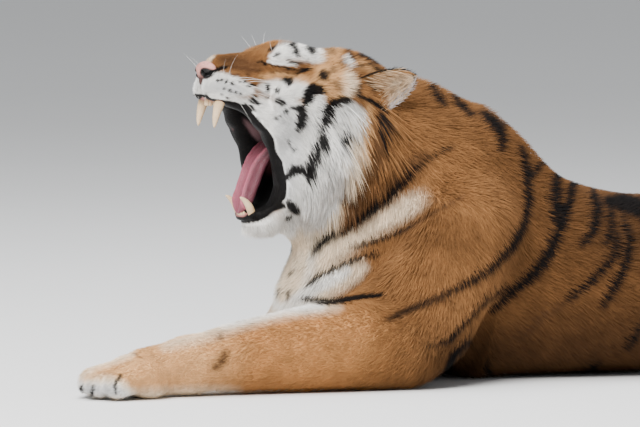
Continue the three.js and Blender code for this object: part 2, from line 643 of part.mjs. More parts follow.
// Ear: a rounded cup laid back. u runs across from rim to rim, v from root to tip.
const EAR_ROOT = [-456, 92, 506];
const EAR_LENGTH = 98;
const EAR_HALF = 38;
const EAR_DEPTH = 24;
const EAR_THICK = 7;
const EAR_SUNK = 0.3;          // share of the length that is inside the head
function earCup(side, grow) {
  const root = vector([EAR_ROOT[0], side * EAR_ROOT[1], EAR_ROOT[2]]);
  const axis = vector([0.86, side * 0.30, 0.40]).normalize();
  const open = vector([-0.36, side * 0.92, -0.1]);
  open.addScaledVector(axis, -open.dot(axis)).normalize();
  const across = new THREE.Vector3().crossVectors(axis, open);
  const rows = 7;
  const columns = 8;
  const points = [];
  for (const front of [0, 1]) {
    for (let j = 0; j <= rows; j++) {
      const v = -EAR_SUNK + ((1 + EAR_SUNK) * j) / rows;
      const half = grow + EAR_HALF * Math.sqrt(Math.max(0.012, 1 - Math.max(0, v) ** 2.6)) * (v < 0 ? 1 + 0.6 * v : 1);
      for (let i = 0; i <= columns; i++) {
        const u = (2 * i) / columns - 1;
        const sag = EAR_DEPTH * (1 - u * u) * Math.sqrt(1.02 - Math.max(0, v) ** 2);
        const thick = (front ? 1.6 + EAR_THICK * (1 - u ** 4) * (1 - Math.max(0, v) ** 5) + grow : -grow);
        points.push(root.clone().addScaledVector(axis, EAR_LENGTH * v + (j ? grow : -grow))
          .addScaledVector(across, half * u).addScaledVector(open, thick - sag));
      }
    }
  }
  const sheet = (rows + 1) * (columns + 1);
  const triangles = [];
  const quad = (a, b, c, d) => triangles.push(a, b, c, a, c, d);
  for (let j = 0; j < rows; j++) {
    for (let i = 0; i < columns; i++) {
      const a = j * (columns + 1) + i;
      quad(a, a + columns + 1, a + columns + 2, a + 1);
      quad(a + sheet, a + sheet + 1, a + sheet + columns + 2, a + sheet + columns + 1);
    }
  }
  for (let j = 0; j < rows; j++) {
    const a = j * (columns + 1);
    quad(a, a + sheet, a + sheet + columns + 1, a + columns + 1);
    const b = a + columns;
    quad(b, b + columns + 1, b + sheet + columns + 1, b + sheet);
  }
  for (let i = 0; i < columns; i++) {
    quad(i, i + 1, i + 1 + sheet, i + sheet);
    const b = rows * (columns + 1) + i;
    quad(b, b + sheet, b + 1 + sheet, b + 1);
  }
  const geometry = new THREE.BufferGeometry();
  geometry.setAttribute('position', new THREE.Float32BufferAttribute(points.flatMap((p) => [...p]), 3));
  geometry.setIndex(triangles);
  const m = solid(geometry);
  return m.volume() > 0 ? m : solid(geometry.clone().setIndex(triangles.toReversed()));
}
for (const [side, word] of [[-1, 'left'], [1, 'right']]) {
  fit(`ear_${word}`, (grow) => earCup(side, grow), ['head', 'neck', `cheek_${word}`]);
}

// Teeth: bent cones, their roots cut off flush with the gum.
function canine(gum, tip, radius, bend, grow) {
  const root = gum.map((v, i) => v - (tip[i] - v) * 0.4);
  const middle = gum.map((v, i) => v + (tip[i] - v) * 0.55 + bend[i]);
  const rings = along3d([root, gum, middle, tip], 6, (u) => {
    const r = radius * Math.min(1, Math.sqrt((1 - u) * 1.45 + 0.02)) + grow;
    return [r - 0.14 * radius, r];
  }, [0, 1, 0]);
  const end = (from, to, size) => to.map((v, i) => v + (v - from[i]) * size);
  return tube(rings, 8, end(gum, root, grow / 20), end(middle, tip, 0.05 + grow / 20));
}
const UPPER_GUM = [-716, 35, 502];
const LOWER_GUM = [-659, 29, 298];
function pegs(from, to, count, [rise, reach, wide, seat]) {
  return Array.from({ length: count }, (_, i) => {
    const k = (i + 0.5) / count - 0.5;
    const arc = 1 - 4 * k * k;
    const gum = drawn(tiger, from.map((v, a) => v + (to[a] - v) * (k + 0.5) + reach[a] * arc), 60);
    const centre = gum.map((v, a) => v + seat * rise[a]);
    return oval(centre, [wide, wide * 0.9, 9], [1, 0, 0], rise, 5);
  });
}
for (const [side, word] of [[-1, 'left'], [1, 'right']]) {
  const gum = [UPPER_GUM[0], side * UPPER_GUM[1], UPPER_GUM[2]];
  const tip = [gum[0] - 0.29 * UPPER_CANINE, gum[1], gum[2] - 0.96 * UPPER_CANINE];
  fit(`upper_canine_${word}`, (grow) => canine(gum, tip, 10.5, [-3, 0, 0], grow), ['head']);
  const low = [LOWER_GUM[0], side * LOWER_GUM[1], LOWER_GUM[2]];
  const lowTip = [low[0] - 0.6 * LOWER_CANINE, low[1] + side * 3, low[2] + 0.8 * LOWER_CANINE];
  fit(`lower_canine_${word}`, (grow) => canine(low, lowTip, 8.5, [3, 0, 3], grow), ['lower_jaw']);
}
for (const peg of pegs([-724, -21, 497], [-724, 21, 497], 6, [[-0.2, 0, -1], [-5, 0, 0], 3.6, 3])) {
  pieces.head = pieces.head.add(peg);
}
for (const peg of pegs([-664, -16, 299], [-664, 16, 299], 6, [[-0.6, 0, 0.8], [-4, 0, 0], 3.2, -3])) {
  pieces.lower_jaw = pieces.lower_jaw.add(peg);
}

// Tongue: arched out of the throat, its tip between the lower canines.
const TONGUE_LINE = [[-566, 0, 424], [-604, 0, 414], [-633, 0, 387], [-648, 0, 352], [-658, 0, 320], [-660, 0, 302]];
const canineRoom = [-1, 1].map((side) => oval(
  [LOWER_GUM[0], side * LOWER_GUM[1], LOWER_GUM[2]], [10, 10, 60], [0.8, 0, 0.6], [-0.6, 0, 0.8], 8));
fit('tongue', (grow) => {
  const rings = along3d(TONGUE_LINE, 8, (u) => {
    const half = 38 - 12 * u ** 3;
    const end = Math.sqrt(Math.min(1, (1 - u) * 5 + 0.12));
    return [half * end + grow, 13 * end + grow];
  }, [0, 1, 0]);
  const end = TONGUE_LINE.at(-1).map((v, i) => v + [-0.3, 0, -1][i] * (2 + grow));
  return tube(rings, 12, TONGUE_LINE[0].map((v, i) => v + [1, 0, 0.4][i] * grow), end, 2.4)
    .subtract(canineRoom[0]).subtract(canineRoom[1]);
}, ['lower_jaw', 'head']);

// ---- ruff: flat tapered locks on each cheek ------------------------------
let seed = 7;
const random = () => {
  seed = (seed * 16807) % 2147483647;
  return seed / 2147483647;
};
const LOCK_ROWS = 4;           // from the front of the cheek to its rear edge
const LOCK_COLUMNS = 5;        // from below the ear to the throat
const LOCK_WIDE = 31;
const LOCK_THICK = 5;
const LOCK_STEPS = 3;
const LOCK_LIFT = 38;          // how far the tips stand off

// The lock's line climbs out of the skin, then bends down and stands off it.
function lock(side, root, lie, length, height) {
  let p = drawn(tiger, [root[0], side * root[1], root[2]], 400);
  let heading = vector([lie[0], side * lie[1], lie[2]]).normalize();
  const rings = [];
  for (let k = 0; k <= LOCK_STEPS; k++) {
    const u = k / LOCK_STEPS;
    const lift = k === 0 ? -12 : height + LOCK_LIFT * u;
    const normal = vector(slopeAt(tiger, p)).normalize();
    p = drawn(tiger, p, 400, lift);
    const run = heading.clone().addScaledVector(normal, -0.9 * heading.dot(normal)).normalize();
    const wide = new THREE.Vector3().crossVectors(run, normal).normalize();
    const thick = new THREE.Vector3().crossVectors(wide, run);
    const w = (LOCK_WIDE / 2) * (u < 0.3 ? 0.8 + 0.7 * u : 1.15 * (1 - u) ** 0.62 + 0.05);
    const t = (LOCK_THICK / 2) * (1 - 0.75 * u);
    rings.push({ centre: vector(p), wide: wide.multiplyScalar(w), thick: thick.multiplyScalar(t) });
    p = [...vector(p).addScaledVector(run, length / LOCK_STEPS)];
    heading = run.add(vector([0, 0, -0.16])).normalize();
  }
  const tip = [...rings.at(-1).centre.clone().addScaledVector(heading, length * 0.08)];
  return tube(rings, 4, [...rings[0].centre], tip);
}

for (const [side, word] of [[-1, 'left'], [1, 'right']]) {
  let cheek = pieces[`cheek_${word}`];
  for (let i = 0; i < LOCK_ROWS; i++) {
    for (let j = 0; j < LOCK_COLUMNS; j++) {
      const down = (j + 0.2 + 0.2 * random() + 0.5 * (i % 2)) / (LOCK_COLUMNS + 0.5);
      const back = (i + 0.5) / LOCK_ROWS;
      const z = 470 - 154 * down;
      const rear = HEAD_CUT[0][0] + (z - HEAD_CUT[0][2]) * 0.507 - 18;
      const front = rear - 126 + 76 * down;
      const x = front + (rear - front) * back;
      const lie = [0.66 - 0.06 * down, 0.1, -0.7 - 0.12 * down];
      const length = 84 + 20 * back + 12 * random();
      cheek = cheek.add(lock(side, [x, 150, z], lie, length, 3 * (j % 2)));
    }
  }
  pieces[`cheek_${word}`] = largest(cheek);
}

// ---- the group -----------------------------------------------------------
const group = new THREE.Group();
group.position.set(-MIDDLE_X, -MIDDLE_Y, 0);
function add(name, m, colour, roughness = 0.9) {
  const { vertProperties, triVerts } = m.getMesh();
  const geometry = new THREE.BufferGeometry();
  geometry.setAttribute('position', new THREE.BufferAttribute(vertProperties, 3));
  geometry.setIndex(new THREE.BufferAttribute(triVerts, 1));
  const mesh = new THREE.Mesh(geometry, new THREE.MeshStandardMaterial({ color: colour, roughness, metalness: 0 }));
  mesh.name = name;
  group.add(mesh);
}
const colours = {
  nose: COAT.leather, tongue: COAT.pink,
  ...Object.fromEntries(['upper', 'lower'].flatMap((row) => sides(`${row}_canine`)).map((name) => [name, COAT.ivory])),
  ...Object.fromEntries([...CHEEKS, 'lower_jaw'].map((name) => [name, COAT.pale])),
};
for (const [name, m] of Object.entries(pieces)) add(name, tidied(largest(m)), colours[name] ?? COAT.orange);

export default group;
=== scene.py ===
"""A Siberian tiger in winter coat, lying and yawning, life size: hide, coat, teeth and tongue
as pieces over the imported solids. Lengths are in millimetres in a frame whose origin is
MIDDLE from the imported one, and turn to metres when a mesh is made."""

import bpy
import numpy as np
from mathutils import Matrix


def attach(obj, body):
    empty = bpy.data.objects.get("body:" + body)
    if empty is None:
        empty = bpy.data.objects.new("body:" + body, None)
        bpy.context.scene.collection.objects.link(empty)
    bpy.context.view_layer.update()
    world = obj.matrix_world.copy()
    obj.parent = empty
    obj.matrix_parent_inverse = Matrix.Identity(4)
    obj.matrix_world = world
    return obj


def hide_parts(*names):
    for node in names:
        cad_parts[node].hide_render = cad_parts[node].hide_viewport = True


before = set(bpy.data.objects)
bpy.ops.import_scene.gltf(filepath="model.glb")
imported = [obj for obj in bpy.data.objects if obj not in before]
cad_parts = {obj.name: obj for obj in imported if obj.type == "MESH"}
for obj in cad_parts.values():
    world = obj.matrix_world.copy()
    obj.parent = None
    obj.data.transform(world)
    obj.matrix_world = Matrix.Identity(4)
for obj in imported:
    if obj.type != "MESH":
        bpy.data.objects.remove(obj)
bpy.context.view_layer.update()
MIDDLE = np.array([284.0, 0.0, 0.0])
rng = np.random.default_rng(11)

# ---- flesh ------------------------------------------------------------------
# The animal out to the tips of its coat, as one form: trunk, neck, head with the jaws wide
# open, folded legs, paws and tail. Each function is a distance, negative inside, and takes
# rows of points.


def ball(p, centre, radii, pitch=0.0):
    """An ellipsoid: k (k - 1) / |q / r r|, with k = |q / r| and q the place from its centre."""
    q = p - np.array(centre, float)
    if pitch:
        c, s = np.cos(pitch), np.sin(pitch)
        q = np.stack([q[:, 0] * c + q[:, 2] * s, q[:, 1], q[:, 2] * c - q[:, 0] * s], 1)
    r = np.array(radii, float)
    k = np.sqrt(((q / r) ** 2).sum(1))
    steep = np.sqrt(((q / r ** 2) ** 2).sum(1))
    return k * (k - 1) / np.maximum(steep, 1e-9)


def limb(p, a, ra, b, rb):
    """A rod from a to b, its radius going from ra to rb: distance to the axis less the radius."""
    a = np.array(a, float)
    ab = np.array(b, float) - a
    t = np.clip((p - a) @ ab / (ab @ ab), 0, 1)
    q = p - a - t[:, None] * ab
    return np.sqrt((q ** 2).sum(1)) - ra - (rb - ra) * t


def chain(p, points, radii):
    """Rods from each point to the next: the least of their distances."""
    ends = zip(points, radii, points[1:], radii[1:])
    return np.min([limb(p, a, ra, b, rb) for a, ra, b, rb in ends], axis=0)


def soften(a, b, k):
    """The lesser of a and b, rounded over k: min(a, b) - h h k / 4, with h = 1 - |a - b| / k."""
    h = np.maximum(k - np.abs(a - b), 0) / k
    return np.minimum(a, b) - h * h * k / 4


def blend(k, *fields):
    """All the fields in one, softened over k one after another."""
    d = fields[0]
    for other in fields[1:]:
        d = soften(d, other, k)
    return d


def carve(a, b, k):
    """a with b taken out of it, the edge rounded over k."""
    return -soften(-a, b, k)


def mirrored(p):
    """The left side folded over onto the right, y to |y|."""
    q = p.copy()
    q[:, 1] = np.abs(q[:, 1])
    return q


def local(p, low, high, field, away=260.0):
    """field(p) inside the box from low to high, and a large distance outside it."""
    inside = ((p > np.array(low)) & (p < np.array(high))).all(1)
    d = np.full(len(p), away)
    if inside.any():
        d[inside] = field(p[inside])
    return d


def ramp(x, low, high):
    """0 below low, 1 above high, smooth between: t t (3 - 2 t)."""
    t = np.clip((x - low) / (high - low), 0, 1)
    return t * t * (3 - 2 * t)


BACK_LINE = np.array([          # x, height of the back, half width
    [-260, 440, 190], [-150, 398, 208], [-60, 352, 224], [20, 328, 233], [110, 316, 236],
    [240, 322, 230], [400, 354, 214], [560, 388, 196], [700, 380, 176]], float)
FULL = 2.35                     # exponent of the trunk's oval section
FLOOR_DIP = 3.0                 # how far the belly is pressed flat


def along(rows, x, column):
    """Cubic through the rows: Hermite steps with the slope of each row's neighbours."""
    at, v = rows[:, 0], rows[:, column]
    n = len(rows)
    low, high = np.maximum(np.arange(n) - 1, 0), np.minimum(np.arange(n) + 1, n - 1)
    slope = (v[high] - v[low]) / (at[high] - at[low])
    x = np.clip(x, at[0], at[-1])
    i = np.clip(np.searchsorted(at, x, "right") - 1, 0, n - 2)
    step = at[i + 1] - at[i]
    t = (x - at[i]) / step
    return (v[i] * (1 + 2 * t) * (1 - t) ** 2 + slope[i] * step * t * (1 - t) ** 2
            + v[i + 1] * t * t * (3 - 2 * t) + slope[i + 1] * step * t * t * (t - 1))


def trunk(p):
    """Oval sections (|y / half|^n + |up|^n)^(1/n) = 1 from shoulders to hips."""
    top, half = along(BACK_LINE, p[:, 0], 1), along(BACK_LINE, p[:, 0], 2)
    tall = (top + FLOOR_DIP) / 2
    up = (p[:, 2] - top + tall) / tall
    size = (np.abs(p[:, 1] / half) ** FULL + np.abs(up) ** FULL) ** (1 / FULL)
    ends = np.maximum(BACK_LINE[0, 0] - p[:, 0], p[:, 0] - BACK_LINE[-1, 0])
    return np.maximum((size - 1) * np.minimum(tall, half), ends)


def neck_and_chest(p):
    """A tapering rod, with balls for the chest, breast, ribs, shoulder blades, nape, throat."""
    p = mirrored(p)
    return blend(
        50, limb(p, [-448, 0, 425], 124, [-325, 0, 332], 191), ball(p, [-400, 0, 175], [170, 160, 180]),
        ball(p, [-504, 0, 116], [88, 112, 92]), ball(p, [-250, 0, 205], [180, 190, 200]),
        ball(p, [-221, 70, 338], [92, 74, 104]), ball(p, [-338, 0, 428], [86, 60, 98]),
        ball(p, [-520, 0, 310], [56, 84, 80], 0.5))


def pelvis(p):
    """The rump: a ball in the middle and one on each side."""
    sides = ball(mirrored(p), [700, 90, 180], [150, 90, 150])
    return blend(60, ball(p, [640, 0, 206], [205, 172, 188]), sides)


def elbow_fold(p):
    """Flesh that fills the crease between the breast and the lying upper arm."""
    return limb(p, [-500, -150, 122], 40, [-402, -168, 178], 56)


FORELEGS = {                    # elbow, then the forearm's line to the wrist and its radii
    -1: ([-400, -204, 110], [[-450, -212, 74], [-600, -206, 77], [-760, -200, 63], [-850, -200, 52]],
         [78, 80, 64, 50]),
    1: ([-392, 208, 104], [[-402, 206, 70], [-520, 96, 60], [-640, -8, 48], [-680, -34, 46]],
        [74, 62, 48, 46])}


def foreleg(p, side):
    """Upper arm from the shoulder down to the elbow, and the forearm on the floor."""
    elbow, line, radii = FORELEGS[side]
    return blend(34, limb(p, [-318, 168 * side, 268], 104, elbow, 84), chain(p, line, radii))


def hind_leg(p, side, forward):
    """Thigh and knee above, the long foot flat on the floor."""
    y, f = 226 * side, forward
    foot = [[770 - f, y + 8 * side, 52], [600 - f, y + 44 * side, 46], [470 - f, y + 56 * side, 48]]
    return blend(
        40, ball(p, [575 - f, y - 16 * side, 172], [212, 84, 158], -0.12),
        limb(p, [420 - f, y + 14 * side, 120], 84, [560 - f, y + 10 * side, 110], 86),
        limb(p, [770 - f, y + 4 * side, 62], 52, [800 - f, y - 20 * side, 110], 46),
        chain(p, foot, [50, 46, 50]))


def paw(p, wrist, heading, length, width):
    """Palm and four toes side by side, pointing along heading from the wrist."""
    (wx, wy), (dx, dy) = wrist, heading

    def at(forward, across, z):
        """The place so far ahead of the wrist and to its side, at the height z."""
        return [wx + dx * forward - dy * across, wy + dy * forward + dx * across, z]

    toes = []
    for k in (-1.5, -0.5, 0.5, 1.5):
        reach = length - 38 - 9 * k * k
        toes.append(limb(p, at(reach - 52, k * width * 0.22, 42), 26, at(reach, k * width * 0.24, 27), 27))
    palm = limb(p, at(length * 0.42, -width * 0.22, 34), 38, at(length * 0.42, width * 0.22, 34), 38)
    return blend(16, limb(p, at(0, 0, 52), 50, at(length * 0.36, 0, 42), 46), palm, blend(5, *toes))


TAIL_LINE = [[800, 0, 215], [880, 4, 118], [960, 16, 52], [1080, 52, 37], [1240, 96, 34],
             [1400, 104, 33], [1530, 70, 31], [1612, 14, 28]]
TAIL_RADII = [56, 50, 44, 39, 36, 35, 33, 27]


def skull(p):
    """Cranium, cheek bones, brows, whisker pads and nose, with the slit of the squeezed lids,
    the groove under the nose and three wrinkles on each side of its bridge cut in."""
    q = mirrored(p)
    cranium = blend(36, ball(q, [-494, 0, 500], [106, 94, 88]), ball(q, [-582, 0, 524], [72, 66, 76]),
                    limb(q, [-612, 0, 549], 38, [-706, 0, 545], 32))
    face = blend(
        28, cranium, ball(q, [-552, 74, 500], [88, 60, 50], 0.12),
        ball(q, [-604, 46, 566], [40, 22, 20], -0.1), ball(q, [-684, 28, 515], [54, 30, 30], 0.24),
        limb(q, [-672, 42, 494], 20, [-636, 64, 450], 26), ball(q, [-715, 17, 517], [27, 22, 23], 0.2))
    lids = blend(6, ball(q, [-612, 60, 557], [23, 13, 9], -0.14),
                 ball(q, [-611, 60, 548], [22, 13, 8], -0.14))
    face = blend(9, face, lids)
    slit = chain(q, [[-640, 54, 551], [-622, 69, 552], [-606, 75, 550], [-588, 74, 547]],
                 [0.8, 1.6, 1.6, 0.8])
    face = carve(face, slit, 4)
    groove = chain(q, [[-748, 0, 530], [-746, 0, 516], [-740, 0, 500]], [1.4, 1.8, 2.0])
    folds = [chain(q, [[-676 + f, 40, 566], [-664 + f, 54, 551], [-652 + f, 62, 534]], [0.6, 1.8, 0.8])
             for f in (-14, 0, 14)]
    return carve(face, np.minimum(groove, np.min(folds, axis=0)), 5)


def jaw(p):
    """Chewing muscles, the jaw hung wide open, the corners of the lips and the chin."""
    q = mirrored(p)
    return blend(
        30, chain(q, [[-540, 84, 480], [-540, 86, 410], [-574, 68, 346]], [48, 52, 42]),
        limb(q, [-588, 58, 350], 36, [-626, 26, 302], 27), limb(q, [-596, 58, 440], 34, [-592, 60, 350], 34),
        chain(q, [[-654, 60, 446], [-634, 66, 416], [-631, 67, 388], [-634, 64, 350]], [10, 11, 11, 9]),
        ball(q, [-634, 0, 286], [32, 36, 24], 0.4), limb(q, [-614, 0, 294], 30, [-566, 0, 306], 54))


# x and z round the open mouth in the side view: the space that the lips leave free, and the
# outer edge of the bare black lip.
LIPS = [[-800, 512], [-716, 493], [-684, 472], [-656, 442], [-640, 396], [-626, 348], [-630, 314],
        [-652, 300], [-700, 293], [-800, 280]]
LIP_EDGE = [[-830, 514], [-752, 510], [-736, 502], [-718, 499], [-699, 496], [-683, 491], [-672, 478],
            [-661, 461], [-650, 446], [-640, 432], [-633, 410], [-623, 393], [-618, 360], [-617, 329],
            [-623, 309], [-634, 295], [-646, 287], [-662, 280], [-676, 282], [-830, 268]]


def gape(p, outline=LIPS):
    """Distance in the side view to the outline that the lips leave free, negative inside it."""
    x, z = p[:, 0], p[:, 2]
    d, inside = np.full(len(p), 1e9), np.zeros(len(p), bool)
    for (ax, az), (bx, bz) in zip(outline, outline[-1:] + outline[:-1]):
        u = np.clip(((x - ax) * (bx - ax) + (z - az) * (bz - az)) / ((bx - ax) ** 2 + (bz - az) ** 2), 0, 1)
        d = np.minimum(d, np.hypot(x - ax - u * (bx - ax), z - az - u * (bz - az)))
        if az != bz:
            inside ^= ((az > z) != (bz > z)) & (x < (bx - ax) * (z - az) / (bz - az) + ax)
    return np.where(inside, -d, d)


def mouth(p):
    """The hollow: the free space between the lips, softened into two balls behind it."""
    return blend(20, gape(p), ball(p, [-648, 0, 404], [76, 46, 92], 0.15),
                 ball(p, [-590, 0, 404], [58, 40, 50]))


def head(p):
    """Skull and jaw, softened together."""
    return blend(34, skull(p), jaw(p))


PAWS = (                        # the box it lies in, then wrist, heading, length and width
    ([-1140, -330, -60], [-760, -80, 160], [-850, -200], [-1, 0], 212, 138),
    ([-960, -180, -60], [-560, 100, 160], [-664, -24], [-0.995, -0.1], 196, 122),
    ([240, -410, -60], [590, -160, 160], [500, -284], [-0.998, -0.06], 200, 122),
    ([210, 160, -60], [560, 410, 160], [470, 284], [-0.998, 0.06], 200, 122))


def body(p):
    """The whole animal out to the tips of its coat, with the mouth not yet opened."""
    parts = blend(
        46, local(p, [-860, -260, 130], [-260, 260, 700], head),
        local(p, [-760, -360, -99], [0, 360, 640], neck_and_chest),
        blend(70, local(p, [-380, -360, -99], [840, 360, 520], trunk),
              local(p, [320, -300, -99], [960, 300, 480], pelvis)),
        local(p, [-960, -380, -99], [-160, 0, 440], lambda q: foreleg(q, -1)),
        local(p, [-700, -360, -60], [-240, 60, 360], elbow_fold),
        local(p, [-780, -150, -99], [-160, 380, 440], lambda q: foreleg(q, 1)),
        local(p, [260, -400, -99], [910, -80, 410], lambda q: hind_leg(q, -1, 0)),
        local(p, [230, 80, -99], [880, 400, 410], lambda q: hind_leg(q, 1, 30)),
        local(p, [680, -120, -99], [1720, 240, 360], lambda q: chain(q, TAIL_LINE, TAIL_RADII)))
    paws = [local(p, low, high, lambda q: paw(q, *shape)) for low, high, *shape in PAWS]
    return blend(18, parts, *paws)


# ---- depth of the coat -------------------------------------------------------
# Winter fur stands about 12 mm deep on the body, a little deeper on the ruff and belly, and
# 1 to 4 mm on the muzzle and front paws. The hide lies below the tips by that depth.


FLANK_DEPTH = 11.5
MOUTH_BOX = [-860, -200, 200], [-480, 200, 560]
SKIN_OVER_FLOOR = 1.5


def coat_depth(p):
    """The depth on the flanks, less or more by smooth steps from one part to the next."""
    x, y, z = p[:, 0], np.abs(p[:, 1]), p[:, 2]
    depth = FLANK_DEPTH - 2.5 * ramp(-x, 420, 560) * ramp(z, 210, 260)
    depth -= 4.2 * ramp(-x, 560, 640) * ramp(z, 240, 280)
    depth -= 1.8 * ramp(-x, 650, 700) * ramp(z, 400, 460)
    ruff = ramp(-x, 440, 490) * ramp(x, -590, -560) * ramp(y, 70, 100) * ramp(z, 270, 300)
    depth += 3 * (ruff * ramp(-z, -480, -440))
    depth += 3 * ramp(-z, -60, -30) * ramp(x, -100, 0) * ramp(-y, -220, -190)
    depth -= 5 * ramp(-x, 440, 560) * ramp(-z, -190, -150)
    depth -= 2.5 * ramp(-x, 800, 860) * ramp(-z, -190, -150)
    depth -= 3.5 * ramp(-x, 640, 700) * ramp(-z, -160, -130) * ramp(-y, -140, -110)
    depth -= 5 * ramp(y, 236, 262) * ramp(-z, -118, -92) * ramp(x, 230, 300) * ramp(-x, -840, -800)
    return depth


def gums(p):
    """A rod along each jaw, from the canine round the front teeth."""
    q = mirrored(p)
    upper = chain(q, [[-694, 42, 494], [-714, 34, 507], [-725, 19, 505], [-728, 0, 505]], [6, 8.5, 6.5, 6.5])
    lower = chain(q, [[-640, 33, 297], [-656, 29, 296], [-663, 14, 292], [-665, 0, 292]], [6, 8.5, 6.5, 6.5])
    return np.minimum(upper, lower)


def hide(p):
    """The body drawn in by the depth of its coat, with the mouth carved out, the gums added
    and the underside cut level just over the floor."""
    d = carve(body(p) + coat_depth(p), local(p, *MOUTH_BOX, mouth), 5)
    d = soften(d, local(p, *MOUTH_BOX, gums), 4)
    return np.maximum(d, SKIN_OVER_FLOOR - p[:, 2])


# ---- hide --------------------------------------------------------------------
# The skin is one closed surface from nose to tail tip with the lining of the mouth. It is
# found on a grid, split finer on head and paws, and drawn onto the form.
CELL = 8.75
BLOCK = 4                       # cells of the first, coarse look
LOW, HIGH = np.array([-1080.0, -360.0, -14.0]), np.array([1660.0, 360.0, 640.0])


def grid_values(field, low, high, cell):
    """field on the nodes of a grid, worked out only in blocks that the surface may cross."""
    blocks = np.ceil((high - low) / (cell * BLOCK)).astype(int)
    axes = [low[i] + cell * BLOCK * np.arange(blocks[i] + 1) for i in range(3)]
    nodes = np.stack(np.meshgrid(*axes, indexing="ij"), -1)
    coarse = field(nodes.reshape(-1, 3)).reshape(nodes.shape[:3])
    near = np.abs(coarse) < cell * BLOCK * 2.3
    wanted = np.zeros(blocks, bool)
    for i, j, k in np.ndindex(2, 2, 2):
        wanted |= near[i:i + blocks[0], j:j + blocks[1], k:k + blocks[2]]
    n = blocks * BLOCK + 1
    fine = np.zeros(n, bool)
    for axis in range(3):
        wanted = np.repeat(wanted, BLOCK, axis)
    fine[:-1, :-1, :-1] = wanted
    for axis in range(3):
        fine |= np.roll(fine, 1, axis)
    values = coarse
    for axis in range(3):
        index = np.minimum((np.arange(n[axis]) + BLOCK // 2) // BLOCK, blocks[axis])
        values = np.take(values, index, axis)
    at = np.argwhere(fine)
    values[fine] = field(low + at * cell)
    return values


def net(values, low, cell):
    """Surface nets: a point in each cell that the surface crosses, at the mean of its
    crossings, and a square of four such points round each crossed edge, as two triangles."""
    inside = values < 0
    count = np.zeros(np.array(values.shape) - 1, int)
    for i, j, k in np.ndindex(2, 2, 2):
        count += inside[i:i + count.shape[0], j:j + count.shape[1], k:k + count.shape[2]]
    cells = np.argwhere((count > 0) & (count < 8))
    index = -np.ones(count.shape, int)
    index[tuple(cells.T)] = np.arange(len(cells))
    total, crossed = np.zeros((len(cells), 3)), np.zeros(len(cells))
    for axis in range(3):
        for e in range(4):
            a = np.zeros(3, int)
            a[(axis + 1) % 3], a[(axis + 2) % 3] = e & 1, e >> 1
            b = a.copy()
            b[axis] = 1
            va, vb = values[tuple((cells + a).T)], values[tuple((cells + b).T)]
            cut = (va < 0) != (vb < 0)
            t = np.where(cut, va / np.where(cut, va - vb, 1), 0)
            total += np.where(cut[:, None], a + t[:, None] * (b - a), 0)
            crossed += cut
    points = low + cell * (cells + total / crossed[:, None])
    faces = []
    for axis in range(3):
        u, v = np.zeros(3, int), np.zeros(3, int)
        u[(axis + 1) % 3], v[(axis + 2) % 3] = 1, 1
        step = 3 * [slice(None)]
        step[axis] = slice(0, -1)
        ahead = 3 * [slice(None)]
        ahead[axis] = slice(1, None)
        first, second = inside[tuple(step)], inside[tuple(ahead)]
        edges = np.argwhere(first != second)
        edges = edges[(edges[:, (axis + 1) % 3] > 0) & (edges[:, (axis + 2) % 3] > 0)]
        quad = [index[tuple((edges - a * u - b * v).T)] for a, b in ((0, 0), (1, 0), (1, 1), (0, 1))]
        quad = np.stack(quad, 1)
        out = first[tuple(edges.T)]
        quad[~out] = quad[~out][:, ::-1]
        faces += [quad[:, [0, 1, 2]], quad[:, [0, 2, 3]]]
    return points, np.concatenate(faces)


def slope(field, p, h=0.6):
    """The way the field rises, by central differences along each axis, and how steeply."""
    g = np.stack([field(p + h * e) - field(p - h * e) for e in np.eye(3)], 1) / (2 * h)
    return g, np.sqrt((g ** 2).sum(1))


def drawn(field, p, most):
    """Points moved onto the surface, along the slope, by no more than most."""
    q = p.copy()
    for _ in range(3):
        g, size = slope(field, q)
        q -= (field(q) / np.maximum(size ** 2, 0.2))[:, None] * g
    move = q - p
    far = np.sqrt((move ** 2).sum(1))
    return p + move * np.minimum(1, most / np.maximum(far, 1e-9))[:, None]


def refine(points, faces, wanted):
    """Each edge whose middle is wanted is split, and its triangles become two to four."""
    corners = np.concatenate([faces[:, [0, 1]], faces[:, [1, 2]], faces[:, [2, 0]]])
    edges, where = np.unique(np.sort(corners, 1), axis=0, return_inverse=True)
    middles = points[edges].mean(1)
    split = wanted(middles)
    number = -np.ones(len(edges), int)
    number[split] = len(points) + np.arange(split.sum())
    m = number[where.reshape(3, -1)].T
    done = [faces[(m < 0).all(1)]]
    for turn in range(3):
        f, c = np.roll(faces, -turn, 1), np.roll(m, -turn, 1)
        a, b, d = f.T
        ab, bd, da = c.T
        one = (ab >= 0) & (bd < 0) & (da < 0)
        done += [np.stack([a, ab, d], 1)[one], np.stack([ab, b, d], 1)[one]]
        two = (ab >= 0) & (bd >= 0) & (da < 0)
        done += [np.stack(t, 1)[two] for t in ([ab, b, bd], [a, ab, bd], [a, bd, d])]
    three = (m >= 0).all(1)
    a, b, d = faces.T
    ab, bd, da = m.T
    done += [np.stack(t, 1)[three] for t in ([a, ab, da], [ab, b, bd], [da, bd, d], [ab, bd, da])]
    return np.concatenate([points, middles[split]]), np.concatenate(done)


def on_head_or_paw(p):
    """Where the skin's edges are split once."""
    x, y, z = p[:, 0], np.abs(p[:, 1]), p[:, 2]
    paws = ((x < -840) | ((x < -690) & (y < 110)) | ((x > 260) & (x < 430) & (y > 232))) & (z < 120)
    return ((x < -455) & (z > 235)) | paws


def on_face(p):
    """Where they are split again: lids, muzzle and lips."""
    x, y, z = p[:, 0], np.abs(p[:, 1]), p[:, 2]
    eye = (np.abs(x + 612) < 44) & (np.abs(z - 551) < 24) & (y > 40)
    muzzle = (x < -690) & (z > 480)
    lips = (np.abs(gape(p)) < 15) & (x < -590) & (z > 270)
    return eye | muzzle | lips


